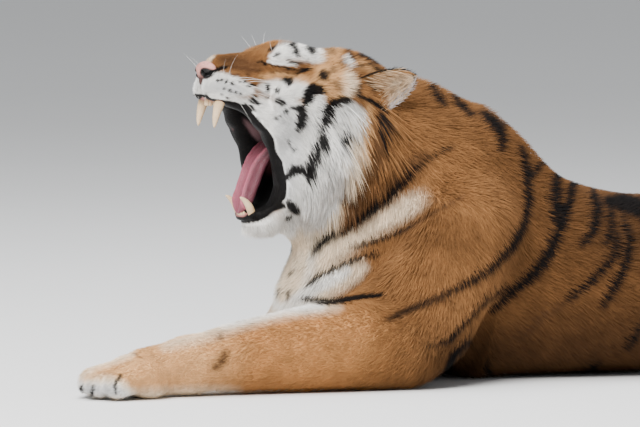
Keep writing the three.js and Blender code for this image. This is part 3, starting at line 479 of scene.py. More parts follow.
skin_points, skin_faces = net(grid_values(hide, LOW, HIGH, CELL), LOW, CELL)
skin_points = drawn(hide, skin_points, CELL * 0.6)
for wanted, most in ((on_head_or_paw, 0.5), (on_face, 0.3)):
    skin_points, skin_faces = refine(skin_points, skin_faces, wanted)
    skin_points = drawn(hide, skin_points, CELL * most)
skin_slope, skin_steep = slope(hide, skin_points)
skin_normals = skin_slope / np.maximum(skin_steep, 1e-9)[:, None]
MOUTH_MIDDLE = np.array([-650.0, 0.0, 400.0])


def mouth_shares(p, normal):
    """Cover of the bare black lip, inside LIP_EDGE in the side view and on the rim that looks
    forward at the corners, and of the wet lining: skin well inside the mouth's walls."""
    x, y, z = p[:, 0], np.abs(p[:, 1]), p[:, 2]
    toward = MOUTH_MIDDLE - p * [1, 0.8, 1]
    looks = (toward * normal).sum(1) / np.sqrt((toward ** 2).sum(1))
    free = local(p, *MOUTH_BOX, gape)
    edge = local(p, *MOUTH_BOX, lambda q: gape(q, LIP_EDGE))
    under = -body(p) - coat_depth(p)
    cut = ramp(under, 0.3, 1.2) * (np.abs(local(p, *MOUTH_BOX, mouth)) < 8)
    near = (free < 56 - 0.45 * y) & (x > -735) & (z > 285)
    palate = (y < 42) & (x > -712) & (x < -585) & (z > 425) & (z < 503)
    wet = np.maximum(cut, np.maximum(near * ramp(looks - 0.004 * y, 0.0, 0.2), palate))
    rim = (free < 26) * ramp(z, 288, 300) * ramp(-z, -474, -462) * ramp(y, 20, 28)
    rim = rim * ramp(-y, -78, -70) * ramp(-normal[:, 0], 0.2, 0.4)
    return np.maximum(ramp(-edge, -0.8, 0.8), np.maximum(wet, rim)), wet * ramp(under, 7.0, 13.0)


lip_share, lining_share = mouth_shares(skin_points, skin_normals)

# ---- markings ----------------------------------------------------------------
# Orange above, white on face, throat, chest and belly, and black stripes. Patches and marks
# of the front half are strokes in a side drawing, which the right side mirrors with drift.
# Behind the ribs the stripes are the species' own, drawn in a seeded loop.
ORANGE, RUSSET = np.array([0.255, 0.119, 0.044]), np.array([0.124, 0.056, 0.020])
TAN, AMBER = np.array([0.61, 0.35, 0.157]), np.array([0.47, 0.222, 0.078])
UMBER, BROWN = np.array([0.082, 0.038, 0.015]), np.array([0.07, 0.034, 0.017])
CREAM, WHITE = np.array([0.78, 0.64, 0.47]), np.array([0.79, 0.775, 0.745])
ASH, BLACK = np.array([0.60, 0.60, 0.60]), np.array([0.007, 0.006, 0.006])

# The drawing is seen from the left with a long lens: its turn and rise, how far off the eye
# is, the place it looks at, and the middle, width and scale of the sheet.
DRAWING_TURN, DRAWING_RISE = np.radians(-24.0), np.radians(3.5)
DRAWING_FAR, DRAWING_SCALE, DRAWING_WIDTH = 14000.0, 7980.0, 640
SHEET_ACROSS, SHEET_DOWN = 320.0, 213.5
DRAWING_MIDDLE = np.array([-515.0, 0.0, 294.0])
TO_EYE = np.array([np.sin(DRAWING_TURN) * np.cos(DRAWING_RISE),
                   -np.cos(DRAWING_TURN) * np.cos(DRAWING_RISE), np.sin(DRAWING_RISE)])
ACROSS = np.array([np.cos(DRAWING_TURN), np.sin(DRAWING_TURN), 0.0])
UPWARD = np.cross(TO_EYE, ACROSS)


def side_drawing(p):
    """Across and down of each point in the side drawing, with the right side folded over."""
    q = p - DRAWING_MIDDLE
    q[:, 1] = -np.abs(q[:, 1])
    far = DRAWING_FAR - q @ TO_EYE
    uv = np.stack([SHEET_ACROSS + DRAWING_SCALE * (q @ ACROSS) / far,
                   SHEET_DOWN - DRAWING_SCALE * (q @ UPWARD) / far], 1)
    hidden = ramp(p[:, 1], 0, 60)
    drift = np.stack([np.sin(p[:, 2] / 61 + 1) + np.sin(p[:, 0] / 83), np.sin(p[:, 0] / 57)], 1)
    return uv + hidden[:, None] * drift * (2.0 + 6.0 * ramp(p[:, 0], -470, -300))[:, None]


def stroke(uv, half, points, soft):
    """Cover of a tapered brush stroke: 1 where the distance to its line is under its width."""
    points = np.array(points, float)
    cover = np.zeros(len(uv))
    reach = half + soft + 2
    near = ((uv > points.min(0) - reach) & (uv < points.max(0) + reach)).all(1)
    q = uv[near]
    if not len(q):
        return cover
    best, n = np.full(len(q), -1e9), len(points) - 1
    for i in range(n):
        a, ab = points[i], points[i + 1] - points[i]
        t = np.clip((q - a) @ ab / max(ab @ ab, 1e-9), 0, 1)
        away = np.sqrt(((q - a - t[:, None] * ab) ** 2).sum(1))
        share = (i + t) / n
        width = half * (0.45 + 0.55 * np.sin(np.pi * share) ** 0.5)
        best = np.maximum(best, width - away)
    cover[near] = np.clip(best / soft + 0.5, 0, 1)
    return cover


# Each stroke is its half width, the softness of its edge, and its line (across, down).
WHITE_PATCHES = {
    "muzzle pad": (11, 3.5, [(202, 84), (216, 82), (228, 85), (250, 90)]),
    "pad front": (8, 4, [(200, 86), (206, 92)]),
    "upper lip": (8, 5, [(200, 92), (225, 100), (248, 108), (268, 124)]),
    "lip edge": (9, 4, [(222, 102), (248, 113), (262, 132), (269, 160), (272, 192)]),
    "side of face": (25, 8, [(240, 114), (264, 120), (290, 130), (300, 170), (292, 212)]),
    "behind arc": (11, 5, [(336, 118), (350, 113), (364, 122)]),
    "lid": (2.6, 2, [(268, 61.5), (282, 63), (297, 64.5)]),
    "behind wedge": (8, 3.5, [(322, 98), (314, 108), (309, 122)]),
    "crown": (3.5, 3, [(346, 56), (353, 66)]),
    "brow": (10, 5, [(274, 57), (286, 51), (302, 50), (314, 54), (321, 58)]),
    "under the eye": (9, 5, [(262, 88), (280, 88), (300, 90), (310, 92)]),
    "cheek": (21, 7, [(282, 100), (292, 122), (297, 150), (299, 185), (304, 212)]),
    "outer cheek": (17.5, 7, [(322, 112), (328, 150), (328, 185), (318, 215)]),
    "ruff": (11, 9, [(347, 112), (343, 138), (332, 172), (325, 205), (315, 224)]),
    "chin": (14, 6, [(240, 230), (262, 232), (290, 232)]),
    "chest wedge": (7, 6, [(348, 272), (328, 282), (308, 292), (292, 301)]),
    "foreleg edge": (5.5, 8, [(322, 306), (284, 308), (250, 316), (222, 325)]),
    "toes": (6.5, 9, [(74, 382), (88, 390), (100, 390), (113, 390), (130, 396)]),
}
# Grey over the white: painted shade on the cheek and the muzzle pad, and greyer toes.
ASH_PATCHES = {
    "cheek": (13, 11, [(284, 108), (288, 138), (288, 168), (286, 196)]),
    "pad": (6, 6, [(206, 86), (222, 87), (240, 91)]),
    "toes": (6, 8, [(80, 390), (100, 391), (122, 393)]),
}
TAN_PATCHES = {
    "temple": (17, 10, [(322, 66), (334, 80), (342, 94)]),
    "ruff edge": (4.2, 6, [(370, 106), (368, 136), (357, 166), (342, 208)]),
    "crown": (3.5, 9, [(354, 61), (368, 68), (380, 76)]),
    "neck band end": (6, 15, [(426, 196), (446, 188), (466, 184)]),
    "brow rear": (8, 7, [(322, 52), (340, 58)]),
    "under the eye": (4.5, 4, [(262, 77), (280, 76), (304, 80), (318, 88)]),
    "paw": (8, 8, [(92, 374), (112, 366), (140, 362)]),
}
CREAM_PATCHES = {
    "throat": (13, 9, [(300, 236), (296, 262), (286, 290), (276, 308)]),
    "neck band": (10, 11, [(434, 192), (416, 202), (390, 217), (360, 235), (318, 264)]),
    "chest wedge": (12, 10, [(362, 268), (345, 276), (325, 286), (296, 302)]),
    "foreleg edge": (7, 14, [(336, 306), (300, 308), (270, 313), (240, 321), (205, 333), (165, 345)]),
    "wrist": (7, 12, [(130, 396), (180, 396), (236, 394)]),
    "toes": (13, 8, [(82, 392), (104, 388), (128, 393)]),
    "temple": (6, 8, [(348, 72), (352, 84), (348, 96)]),
    "ruff rear": (10.5, 8, [(358, 112), (356, 132), (348, 165), (338, 198), (326, 226)]),
    "paw front": (4, 8, [(80, 378), (94, 366), (112, 360), (132, 354)]),
    "jowl": (11, 9, [(330, 236), (306, 250)]),
    "nose tip": (4, 4, [(203, 60), (212, 57)]),
}
RUSSET_PATCHES = {
    # The shoulder patch is painted shade on the shoulder under the neck.
    "shoulder": (20, 24, [(400, 236), (440, 236), (482, 244)]),
    "nape": (12, 16, [(420, 92), (446, 112), (470, 132)]),
}
BROWN_MARKS = {
    "brow smudge": (4.4, 2, [(321, 45), (328, 49), (335, 53)]),
    "temple 1": (4.6, 2, [(331, 68), (335, 71)]),
    "temple 2": (2.0, 1.5, [(343, 60), (344, 63)]),
    "temple 3": (2.2, 2, [(343, 59), (346, 62)]),
    "temple 4": (4.0, 5, [(335, 82), (342, 90)]),
    "neck low": (2.3, 2.6, [(466, 195), (427, 217), (399, 233), (372, 242), (349, 248)]),
    # collar shade: partly the dark mottled coat of the collar, partly painted shadow under the ruff.
    "collar shade": (12, 12, [(424, 158), (396, 182), (366, 212), (344, 230)]),
    # ruff shade: painted shade behind the rear edge of the ruff.
    "ruff shade": (7.5, 7, [(382, 112), (380, 140), (370, 168), (358, 195), (344, 222)]),
    "crown shade": (3.0, 3.5, [(357, 54), (370, 58), (384, 66), (392, 71)]),
    "crown spot 1": (1.6, 1.4, [(357, 54), (362, 57)]),
    "crown spot 2": (1.5, 1.4, [(359, 65), (364, 67)]),
    "crown spot 3": (2.4, 1.6, [(370, 58), (377, 64)]),
    "crown spot 4": (1.8, 2.0, [(372, 72), (378, 78)]),
    "crown front": (2.2, 3, [(284, 42), (300, 40)]),
    "shoulder low": (5.0, 4, [(486, 276), (441, 298), (409, 310), (386, 320)]),
    "rib low": (2.6, 4, [(567, 303), (544, 317), (519, 341)]),
    "forearm": (4.2, 4, [(226, 351), (222, 361), (213, 370)]),
    "forearm core": (3.2, 3.5, [(225, 352), (222, 361), (215, 368)]),
    "forearm dot": (2.4, 3, [(219, 333), (220, 339)]),
    "bridge": (5, 7, [(222, 60), (238, 61), (262, 66)]),
    "pad rear row": (1.3, 1.5, [(230, 74.5), (241, 74.8)]),
    "nose side": (3, 4, [(228, 66), (244, 69), (262, 71)]),
    "eye band": (1.2, 2, [(268, 73), (282, 71), (297, 76)]),
    "muzzle": (2.2, 2, [(246, 74), (251, 74.5)]),
    "ear streak 1": (1.8, 2, [(366, 80), (374, 88), (382, 92)]),
    "ear streak 2": (1.8, 2, [(368, 100), (376, 92), (384, 84)]),
    "wrist line": (1.0, 1.5, [(132, 353), (142, 358)]),
}
BLACK_MARKS = {
    "eye slit": (1.1, 1.2, [(266, 64), (276, 66.5), (285, 68), (298, 70)]),
    "eye corner": (2.5, 1.2, [(297.5, 74), (303, 70.6), (312, 69.2)]),
    "tear line": (1.3, 1.6, [(258, 60), (264, 63), (268, 65)]),
    "brow dash 1": (1.2, 0.9, [(288, 62.2), (296, 62.6), (303, 63.4)]),
    "brow dash 2": (0.9, 1.0, [(287, 59), (292, 59.4)]),
    "lower dash": (1.2, 1.2, [(281, 79.5), (286, 80.5)]),
    "lower spot": (4.0, 1.2, [(284, 80), (289.5, 81.2), (292.5, 82.4)]),
    "forehead line": (3.1, 1.0, [(290, 45), (293, 45), (296, 51), (299, 57)]),
    "forehead blob": (4.6, 1.5, [(308, 40.5), (310, 47), (314, 53)]),
    "forehead tick": (1.6, 2, [(269, 50), (276, 46)]),
    "crown slash": (1.8, 1.2, [(345, 48.5), (350, 54), (355.5, 62)]),
    "crown spot": (1.8, 1.5, [(357, 64.5), (362, 66.5)]),
    "crown patch": (2.2, 2.4, [(358, 54), (368, 57.5), (380, 63.5)]),
    "crown bar": (1.7, 2, [(366, 63), (374, 67), (382, 72)]),
    "crown rear": (3.2, 2, [(382, 71), (391, 73.5), (400, 75)]),
    "ear front": (1.6, 1.5, [(368, 78), (371, 84), (374, 90)]),
    "ear front low": (2.2, 2, [(361, 84), (359, 91), (360, 97)]),
    "small smudge": (1.9, 2, [(275, 56), (280, 53)]),
    # The next two are partly black skin beside the nose, partly painted shade along the nostril's slit.
    "nose comma": (2.3, 1.2, [(204, 74), (212, 70.5), (220, 68.5), (227, 66.5)]),
    "nostril shade": (3.2, 1.2, [(203, 77), (207, 74), (213, 71.5)]),
    "philtrum": (1.8, 1.3, [(199.5, 80), (199.0, 86), (199.5, 92)]),
    "lip front": (1.7, 1.2, [(199.5, 94), (204, 96), (209, 97)]),
    "temple spot": (5.6, 1.5, [(321, 72), (324, 75), (326.5, 79)]),
    "wedge top": (6.4, 1.5, [(325, 91), (316, 89), (310, 93), (307, 103)]),
    "wedge side": (5.6, 1.5, [(313, 85), (311, 94), (306, 106)]),
    "wedge hook": (2.8, 1.5, [(307, 105), (301, 108.5), (291, 108.5)]),
    "wedge foot": (5.4, 1.5, [(302, 108), (303, 118), (299, 131)]),
    "cheek arc": (5.4, 1.8, [(352, 100.5), (342, 101), (334, 104), (329, 110), (326, 120), (321, 129)]),
    "cheek arc top": (5.6, 1.8, [(336, 103), (331, 109), (328, 117)]),
    "cheek spot": (5.4, 2, [(323, 134), (325, 148)]),
    "rear cheek spot": (5.4, 3.4, [(349, 132), (342, 145)]),
    "cheek bar": (5.6, 2, [(317, 143), (313, 162), (309, 182)]),
    "jowl bar": (5.0, 2, [(287, 178), (295, 170), (304, 171), (310, 172)]),
    "jowl spot": (5.0, 2.5, [(288, 203), (294, 209), (298, 213)]),
    "jaw spot": (2.6, 2, [(286, 221), (291, 217)]),
    "pad row 1 a": (1.55, 0.8, [(217, 79.7), (219, 79.8)]),
    "pad row 1 b": (1.85, 0.8, [(221, 80.2), (222.5, 80.4)]),
    "pad row 1 c": (2.25, 0.8, [(226, 81.4), (227.5, 81.7)]),
    "pad row 1 d": (2.05, 0.8, [(231, 83), (234, 83.4)]),
    "pad row 1 e": (1.75, 0.8, [(239, 81), (240.5, 81.2)]),
    "pad row 1 f": (1.65, 0.8, [(243.5, 81.6), (246.5, 82)]),
    "pad row 1 g": (1.75, 0.8, [(247, 85), (255, 85.4)]),
    "pad row 2 a": (1.55, 0.8, [(223.5, 88.3), (225, 88.6)]),
    "pad row 2 b": (1.95, 0.8, [(229, 90.8), (232, 91.2)]),
    "pad row 2 c": (1.85, 0.8, [(234.5, 92), (237.5, 92.6)]),
    "pad row 2 d": (1.65, 0.8, [(240, 93.6), (242, 94.2)]),
    "pad row 3 a": (1.55, 0.8, [(221, 94.6), (222.4, 94.9)]),
    "pad row 3 b": (1.55, 0.8, [(227, 97.8), (228.4, 98.2)]),
    "pad rear 1": (2.2, 1, [(253.5, 96), (257, 98)]),
    "pad rear 2": (3.1, 1, [(250, 99), (254.5, 101), (259.5, 104)]),
    "pad rear 3": (2.7, 1, [(246, 104.5), (250, 107.5), (255, 110.5)]),
    "cheek tick 1": (2.2, 1, [(268, 84), (268.4, 92)]),
    "cheek tick 2": (3.8, 1, [(277, 90), (278, 91.5)]),
    "cheek tick 3": (3.6, 1.2, [(275.5, 99.5), (280, 101.5), (285, 105)]),
    "cheek tick 4": (2.2, 1, [(268.4, 97), (269, 98.4)]),
    "cheek tick 5": (3.3, 1, [(285.5, 111.5), (287, 113)]),
    "cheek tick 6": (2.0, 1, [(276, 118), (277.4, 120)]),
    "cheek tick 7": (1.2, 1, [(280, 114.5), (281, 116)]),
    "cheek tick 8": (1.2, 1, [(262.5, 77), (263, 79)]),
    "cheek tick 9": (1.3, 1, [(289, 140), (291, 148)]),
    "cheek tick 10": (1.2, 1, [(292, 153), (297, 148)]),
    # The next two are painted shadow: a dark line behind the ruff, and a band under the ear.
    "behind ruff": (3.6, 3, [(383, 108), (386, 122), (385, 142)]),
    "under ear": (2.6, 1.5, [(359, 96.5), (370, 100), (380, 106), (387, 111)]),
    "collar top": (1.7, 3, [(458, 145), (444, 151), (428, 161), (412, 174)]),
    "collar": (5.4, 4.5, [(418, 168), (404, 182), (386, 200), (356, 221), (338, 232), (321, 244),
                          (313, 254)]),
    "neck low": (1.5, 2.2, [(414, 225), (396, 234), (374, 242), (354, 250)]),
    "throat bar": (2.3, 2, [(380, 255), (365, 257), (350, 263), (333, 270), (318, 277), (305, 287)]),
    "breast bar": (3.3, 2, [(383, 295), (360, 297), (345, 300), (329, 302), (316, 301), (302, 299)]),
    "chest dot 1": (2.1, 2, [(289, 256), (290, 262)]),
    "chest dot 2": (2.1, 2, [(290, 270), (289, 276)]),
    "chest dot 3": (1.8, 2, [(288, 290), (287, 301)]),
    "nape 1": (4.0, 3, [(432, 84), (437, 94), (446, 105)]),
    "nape 2": (3.6, 3, [(452, 95), (461, 105), (474, 116)]),
    "withers": (5.2, 3, [(484, 112), (493, 121), (504, 136), (502, 151)]),
    "withers top": (3.6, 6, [(481, 112), (492, 120), (505, 126)]),
    "shoulder": (4.4, 2.5, [(521, 146), (527, 160), (528, 172), (530, 200), (526, 221), (514, 246),
                            (493, 269), (475, 280), (458, 290)]),
    "shoulder low": (1.7, 4, [(486, 276), (441, 298), (409, 310), (390, 318)]),
    "shoulder twig": (3.0, 3, [(544, 161), (531, 178)]),
    "rib 1": (5.4, 2.5, [(556, 172), (557, 194), (556, 222)]),
    "rib 2": (5.8, 2.5, [(573, 177), (571, 200), (563, 225), (553, 250), (537, 273), (514, 292), (492, 313)]),
    "rib 2 twig": (4.8, 3, [(559, 205), (566, 212), (566, 226)]),
    "rib thin": (2.4, 2.5, [(510, 285), (487, 301), (464, 326), (450, 342), (427, 347)]),
    "rib 3": (4.8, 2.5, [(592, 190), (599, 209), (595, 230), (582, 248)]),
    "rib 4": (3.4, 2.5, [(608, 200), (614, 226), (606, 246)]),
    "rib 5": (4.1, 2.5, [(619, 232), (616, 256), (602, 272), (587, 287), (566, 303)]),
    "rib 6": (4.4, 2.5, [(624, 216), (631, 239), (627, 264), (615, 290), (603, 308)]),
    "saddle 1": (7.5, 6, [(606, 199), (618, 203), (632, 208), (650, 216)]),
    "saddle 2": (3.5, 3, [(616, 196), (632, 200), (650, 204)]),
    "flank low 1": (3.2, 2.5, [(641, 326), (635, 338), (628, 350)]),
    "flank low 2": (3.0, 3, [(600, 362), (585, 372), (572, 380)]),
    "armpit": (4.0, 4, [(471, 339), (454, 356), (443, 380)]),
    "elbow": (2.4, 3, [(488, 361), (489, 378)]),
    "toe line 1": (1.7, 1, [(92.5, 385), (91.5, 397)]),
    "toe line 2": (1.9, 1, [(122, 374), (117, 380), (114.5, 387), (116, 394)]),
    "toe line 3": (1.5, 1, [(81.5, 386), (81, 393)]),
}

GIRTH_RADIUS, GIRTH_MIDDLE = 178.0, 150.0
RIB_START, RUMP_END, STRIPE_SOFT = 40.0, 830.0, 5


def girth_drawing(p):
    """x, and the way round from the spine: the angle about the trunk's middle times a radius."""
    turn = np.arctan2(np.abs(p[:, 1]), p[:, 2] - GIRTH_MIDDLE)
    return np.stack([p[:, 0] + 14 * np.sin(p[:, 1] / 47), turn * GIRTH_RADIUS], 1)


def rear_stripes(side_seed):
    """Stripes behind the ribs: each falls from the spine, bends, tapers, and may fork or stop."""
    draw = np.random.default_rng(side_seed)
    strokes = []
    x = RIB_START
    while x < RUMP_END:
        lean = draw.uniform(-26, 26)
        top, low = draw.uniform(-6, 26), draw.uniform(210, 330)
        g = np.linspace(top, low, 6)
        line = x + lean * (g / 200) + 12 * np.sin(g / 60 + draw.uniform(0, 6))
        half = draw.uniform(7.0, 10.5)
        broken = draw.random() < 0.35
        if broken:
            strokes += [(half, np.stack([line, g], 1)[:4]), (half * 0.8, np.stack([line + 9, g + 16], 1)[3:])]
        else:
            strokes.append((half, np.stack([line, g], 1)))
        if draw.random() < 0.6:
            g = np.linspace(draw.uniform(0, 90), draw.uniform(150, 240), 4)
            strokes.append((half * 0.6, np.stack([x + 22 + lean * (g / 200) + 6 * np.sin(g / 40), g], 1)))
        x += draw.uniform(48, 66)
    return strokes


REAR = {-1: rear_stripes(5), 1: rear_stripes(9)}


def tail_rings(p):
    """Cover of the black rings: the place along the tail, with rings closing up to the tip."""
    line = np.array(TAIL_LINE, float)
    steps = np.sqrt((np.diff(line, axis=0) ** 2).sum(1))
    start = np.concatenate([[0], np.cumsum(steps)])
    best, place = np.full(len(p), 1e9), np.zeros(len(p))
    for i in range(len(steps)):
        ab = line[i + 1] - line[i]
        t = np.clip((p - line[i]) @ ab / (ab @ ab), 0, 1)
        away = ((p - line[i] - t[:, None] * ab) ** 2).sum(1)
        place = np.where(away < best, start[i] + t * steps[i], place)
        best = np.minimum(best, away)
    share = place / start[-1]
    wave = np.sin(2 * np.pi * (share * 9.5 + 0.04 * np.sin(p[:, 1] / 15)))
    return np.clip((wave + 0.25) * 2.2, 0, 1) * ramp(share, 0.10, 0.16), ramp(share, 0.91, 0.93)


def coat_colour(p, normal):
    """Linear colour of the coat at each point, painted in layers."""
    n = len(p)
    x, y, z = p[:, 0], p[:, 1], p[:, 2]
    uv = side_drawing(p)
    wobble = np.stack([np.sin(uv[:, 1] * 0.9 + 3 * np.sin(uv[:, 0] / 7)), np.sin(uv[:, 0] * 0.8)], 1) * 0.5
    uv += wobble
    colour = np.tile(ORANGE, (n, 1))

    def lay(tone, cover):
        """One more layer of paint: colour + cover (tone - colour)."""
        colour[:] = colour + np.clip(cover, 0, 1)[:, None] * (tone - colour)

    def draw_on(tone, cover, strokes, where=1.0):
        """A layer for each stroke of a table."""
        for half, soft, points in strokes.values():
            lay(tone, cover * stroke(uv, half, points, soft) * where)

    # Russet behind the shoulders: partly the darker coat of back and flanks, partly painted shade on the rear
    # of the body.
    lay(RUSSET, 0.85 * ramp(x, -330, -180))
    lay(RUSSET, 0.3 * ramp(z, 300, 420) * ramp(x, -400, -250))
    # Umber: painted shade low at the elbows and under the belly; on the upper flank partly dark coat, partly
    # painted shade.
    lay(UMBER, 0.9 * ramp(-z, -150, -50) * ramp(x, -480, -380) * ramp(-x, -240, -160))
    lay(UMBER, 0.4 * ramp(-z, -190, -60) * ramp(x, -200, -60))
    lay(UMBER, 0.75 * ramp(x, -130, -20) * ramp(-x, -420, -200) * ramp(z, 170, 240))
    # Amber on the forearms: painted light, kept paler than the body as if more brightly lit.
    lay(AMBER, 0.95 * ramp(-x, 440, 640) * ramp(-z, -175, -135))
    lay(TAN, 0.75 * ramp(-x, 740, 850) * ramp(-z, -160, -120))
    lay(RUSSET, 0.7 * ramp(-uv[:, 1], -70, -52) * ramp(-uv[:, 0], -268, -235))
    draw_on(RUSSET, 0.5, RUSSET_PATCHES)
    low = ramp(-z, -40, -18) * ramp(x, 60, 160) * ramp(-normal[:, 2], 0.5, 0.9) * (np.abs(y) < 130)
    lay(CREAM, low)
    inward = -np.abs(y)
    breast = ramp(inward, -130, -70) * ramp(-x, 440, 500) * ramp(-z, -300, -250) * ramp(z, 100, 130)
    lay(CREAM, 0.8 * breast)
    lay(WHITE, 0.9 * ramp(inward, -80, -40) * ramp(-x, 490, 530) * ramp(-z, -330, -290) * ramp(z, 90, 150))
    right_toes = ramp(-x, 800, 830) * (z < 120) * (np.abs(y) < 110)
    hind_toes = ramp(-x, -360, -320) * (z < 70) * (np.abs(y) > 200) * (x > 200)
    lay(CREAM, 0.75 * np.clip(right_toes + hind_toes, 0, 1))
    inner = (y > -185) * ramp(-x, 540, 620) * ramp(normal[:, 1], 0.2, 0.7) * (y < -90)
    lay(CREAM, inner)
    low_down, right_leg = ramp(-z, -150, -120), ramp(y, -110, -95)
    lay(CREAM, 0.9 * (ramp(-x, 480, 560) * low_down * right_leg * ramp(-normal[:, 1], 0.1, 0.6)))
    lay(CREAM, 0.7 * ramp(-x, 520, 620) * low_down * right_leg * ramp(normal[:, 2], 0.6, 0.9))
    front = ramp(-x, 380, 420)
    draw_on(TAN, 0.9, TAN_PATCHES, front)
    draw_on(CREAM, 0.9, CREAM_PATCHES, front)
    draw_on(WHITE, 1.0, WHITE_PATCHES, front)
    draw_on(ASH, 0.7, ASH_PATCHES, front)
    mottle = np.sin(x / 4.3 + 2 * np.sin(z / 7.1 + y / 9.7)) * np.sin(z / 4.9 + 2 * np.sin(x / 8.3 - y / 6.1))
    mottle += np.sin(x / 11 + 2 * np.sin(z / 17 + y / 13)) * np.sin(z / 12 + 2 * np.sin(x / 19 - y / 15))
    colour *= (1 + (0.07 + 0.05 * ramp(x, -520, -440)) * mottle)[:, None]
    draw_on(BROWN, 0.68, BROWN_MARKS)
    draw_on(BLACK, 0.985, BLACK_MARKS, ramp(-x, -125, -90))
    rear = ramp(x, 10, 45) * ramp(-x, -880, -840)
    around = girth_drawing(p)
    for side, strokes in REAR.items():
        here = rear * (np.sign(y + 1e-6) == side)
        for half, points in strokes:
            lay(BLACK, 0.98 * stroke(around, half, points, STRIPE_SOFT) * here)
    rings, tip = tail_rings(p)
    on_tail = ramp(x, 840, 880)
    lay(CREAM, 0.6 * on_tail * ramp(-normal[:, 2], 0.1, 0.6))
    lay(BLACK, 0.98 * on_tail * np.maximum(rings, tip))
    return colour


LINING, FOLD = np.array([0.17, 0.065, 0.067]), np.array([0.24, 0.14, 0.15])
GUM, LIP_BLACK = np.array([0.45, 0.20, 0.18]), np.array([0.0065, 0.006, 0.006])
UPPER_GUM = [[-720, 36, 503], [-727, 20, 500], [-730, 0, 500]]
LOWER_GUM = [[-663, 24, 298], [-668, 12, 297], [-670, 0, 297]]


def skin_colour(p, normal):
    """The coat's colour outside, black lips, dark wet lining with a paler fold near the
    corner of the mouth, and pink gums round the teeth."""
    q = mirrored(p)
    colour = coat_colour(p, normal)
    layers = [(LIP_BLACK, lip_share), (LINING, lining_share * ramp(p[:, 2], 335, 380))]
    fold = chain(q, [[-645, 41, 462], [-622, 42, 437], [-600, 42, 413]], [2, 6, 4])
    layers.append((FOLD, 0.8 * lip_share * ramp(-fold, -4, 2)))
    pink = np.minimum(chain(q, UPPER_GUM, [10, 8, 8]), chain(q, LOWER_GUM, [3, 5, 5]))
    layers.append((GUM, np.maximum(lining_share, lip_share) * ramp(-pink, -1, 2)))
    for tone, cover in layers:
        colour += cover[:, None] * (tone - colour)
    return colour


# ---- unwrap ------------------------------------------------------------------
# The hide is cut into flat patches, by part of the body and by the way each face looks,
# and the patches are packed in rows. Each tuft takes the place of its root.


def body_part(p):
    """Head 1, left foreleg 2, right foreleg 3, hind paws 4 and 5, tail 6, and 0 for the rest."""
    x, y, z = p[:, 0], p[:, 1], p[:, 2]
    part = np.zeros(len(p), int)
    part[(x < -455) & (z > 235)] = 1
    part[(x < -430) & (z < 165) & (y < -112)] = 2
    part[(x < -380) & (z < 150) & (y > 112)] = 3
    part[(x < -560) & (z < 150) & (y > -112)] = 3
    part[(x > 236) & (z < 104) & (y < -200)] = 4
    part[(x > 236) & (z < 104) & (y > 200)] = 5
    part[x > 850] = 6
    return part


def unwrap(points, faces, extra):
    """A place in the unit square for each corner of each face: boxes of one part and one
    main direction, set side by side in rows, at the largest scale that fits."""
    corners = points[faces]
    normal = np.cross(corners[:, 1] - corners[:, 0], corners[:, 2] - corners[:, 0])
    axis = np.abs(normal).argmax(1)
    way = axis * 2 + (np.take_along_axis(normal, axis[:, None], 1)[:, 0] > 0)
    chart = (body_part(corners.mean(1)) + 10 * extra) * 6 + way
    flat = np.array([[1, 2], [0, 2], [0, 1]])[axis]
    place = np.take_along_axis(corners, np.repeat(flat[:, None, :], 3, 1), 2)
    names = np.unique(chart)
    boxes = {}
    for c in names:
        within = place[chart == c].reshape(-1, 2)
        boxes[c] = within.min(0), within.max(0)
    order = sorted(names, key=lambda c: -(boxes[c][1] - boxes[c][0])[1])
    scale, edge = 0.0009, 0.004             # first try, and the gap between boxes
    while True:
        spots, x, y, row = {}, edge, edge, 0.0
        for c in order:
            wide, tall = (boxes[c][1] - boxes[c][0]) * scale
            if x + wide + edge > 1:
                x, y, row = edge, y + row + edge, 0.0
            spots[c] = (x, y)
            x += wide + edge
            row = max(row, tall)
        if y + row + edge < 1 and max((boxes[c][1] - boxes[c][0])[0] for c in names) * scale < 0.99:
            break
        scale *= 0.97
    uv = np.zeros(place.shape)
    for c in names:
        uv[chart == c] = (place[chart == c] - boxes[c][0]) * scale + spots[c]
    return uv


# ---- materials ---------------------------------------------------------------
# Hair is matt, and the hide under it carries the same markings, matt too but wetter on the
# lips. Each finish takes the piece's own colours, with a little noise in place.


class Value:
    """A node's output. The operators + - and * on it add Math nodes to its tree."""

    def __init__(self, tree, socket):
        self.tree, self.socket = tree, socket

    def _math(self, operation, a, b):
        return node(self.tree, "ShaderNodeMath", {"operation": operation}, {0: a, 1: b})

    def __add__(self, other):
        return self._math("ADD", self, other)

    def __mul__(self, other):
        return self._math("MULTIPLY", self, other)

    def __sub__(self, other):
        return self._math("SUBTRACT", self, other)

    def __rsub__(self, other):
        return self._math("SUBTRACT", other, self)

    __radd__, __rmul__ = __add__, __mul__


def node(tree, kind, settings=None, inputs=None, output=0):
    """Adds a node, sets it, fills or links its inputs, and returns one of its outputs."""
    made = tree.nodes.new(kind)
    for key, value in (settings or {}).items():
        setattr(made, key, value)
    for key, value in (inputs or {}).items():
        if isinstance(value, Value):
            tree.links.new(value.socket, made.inputs[key])
        else:
            made.inputs[key].default_value = value
    return Value(tree, made.outputs[output])


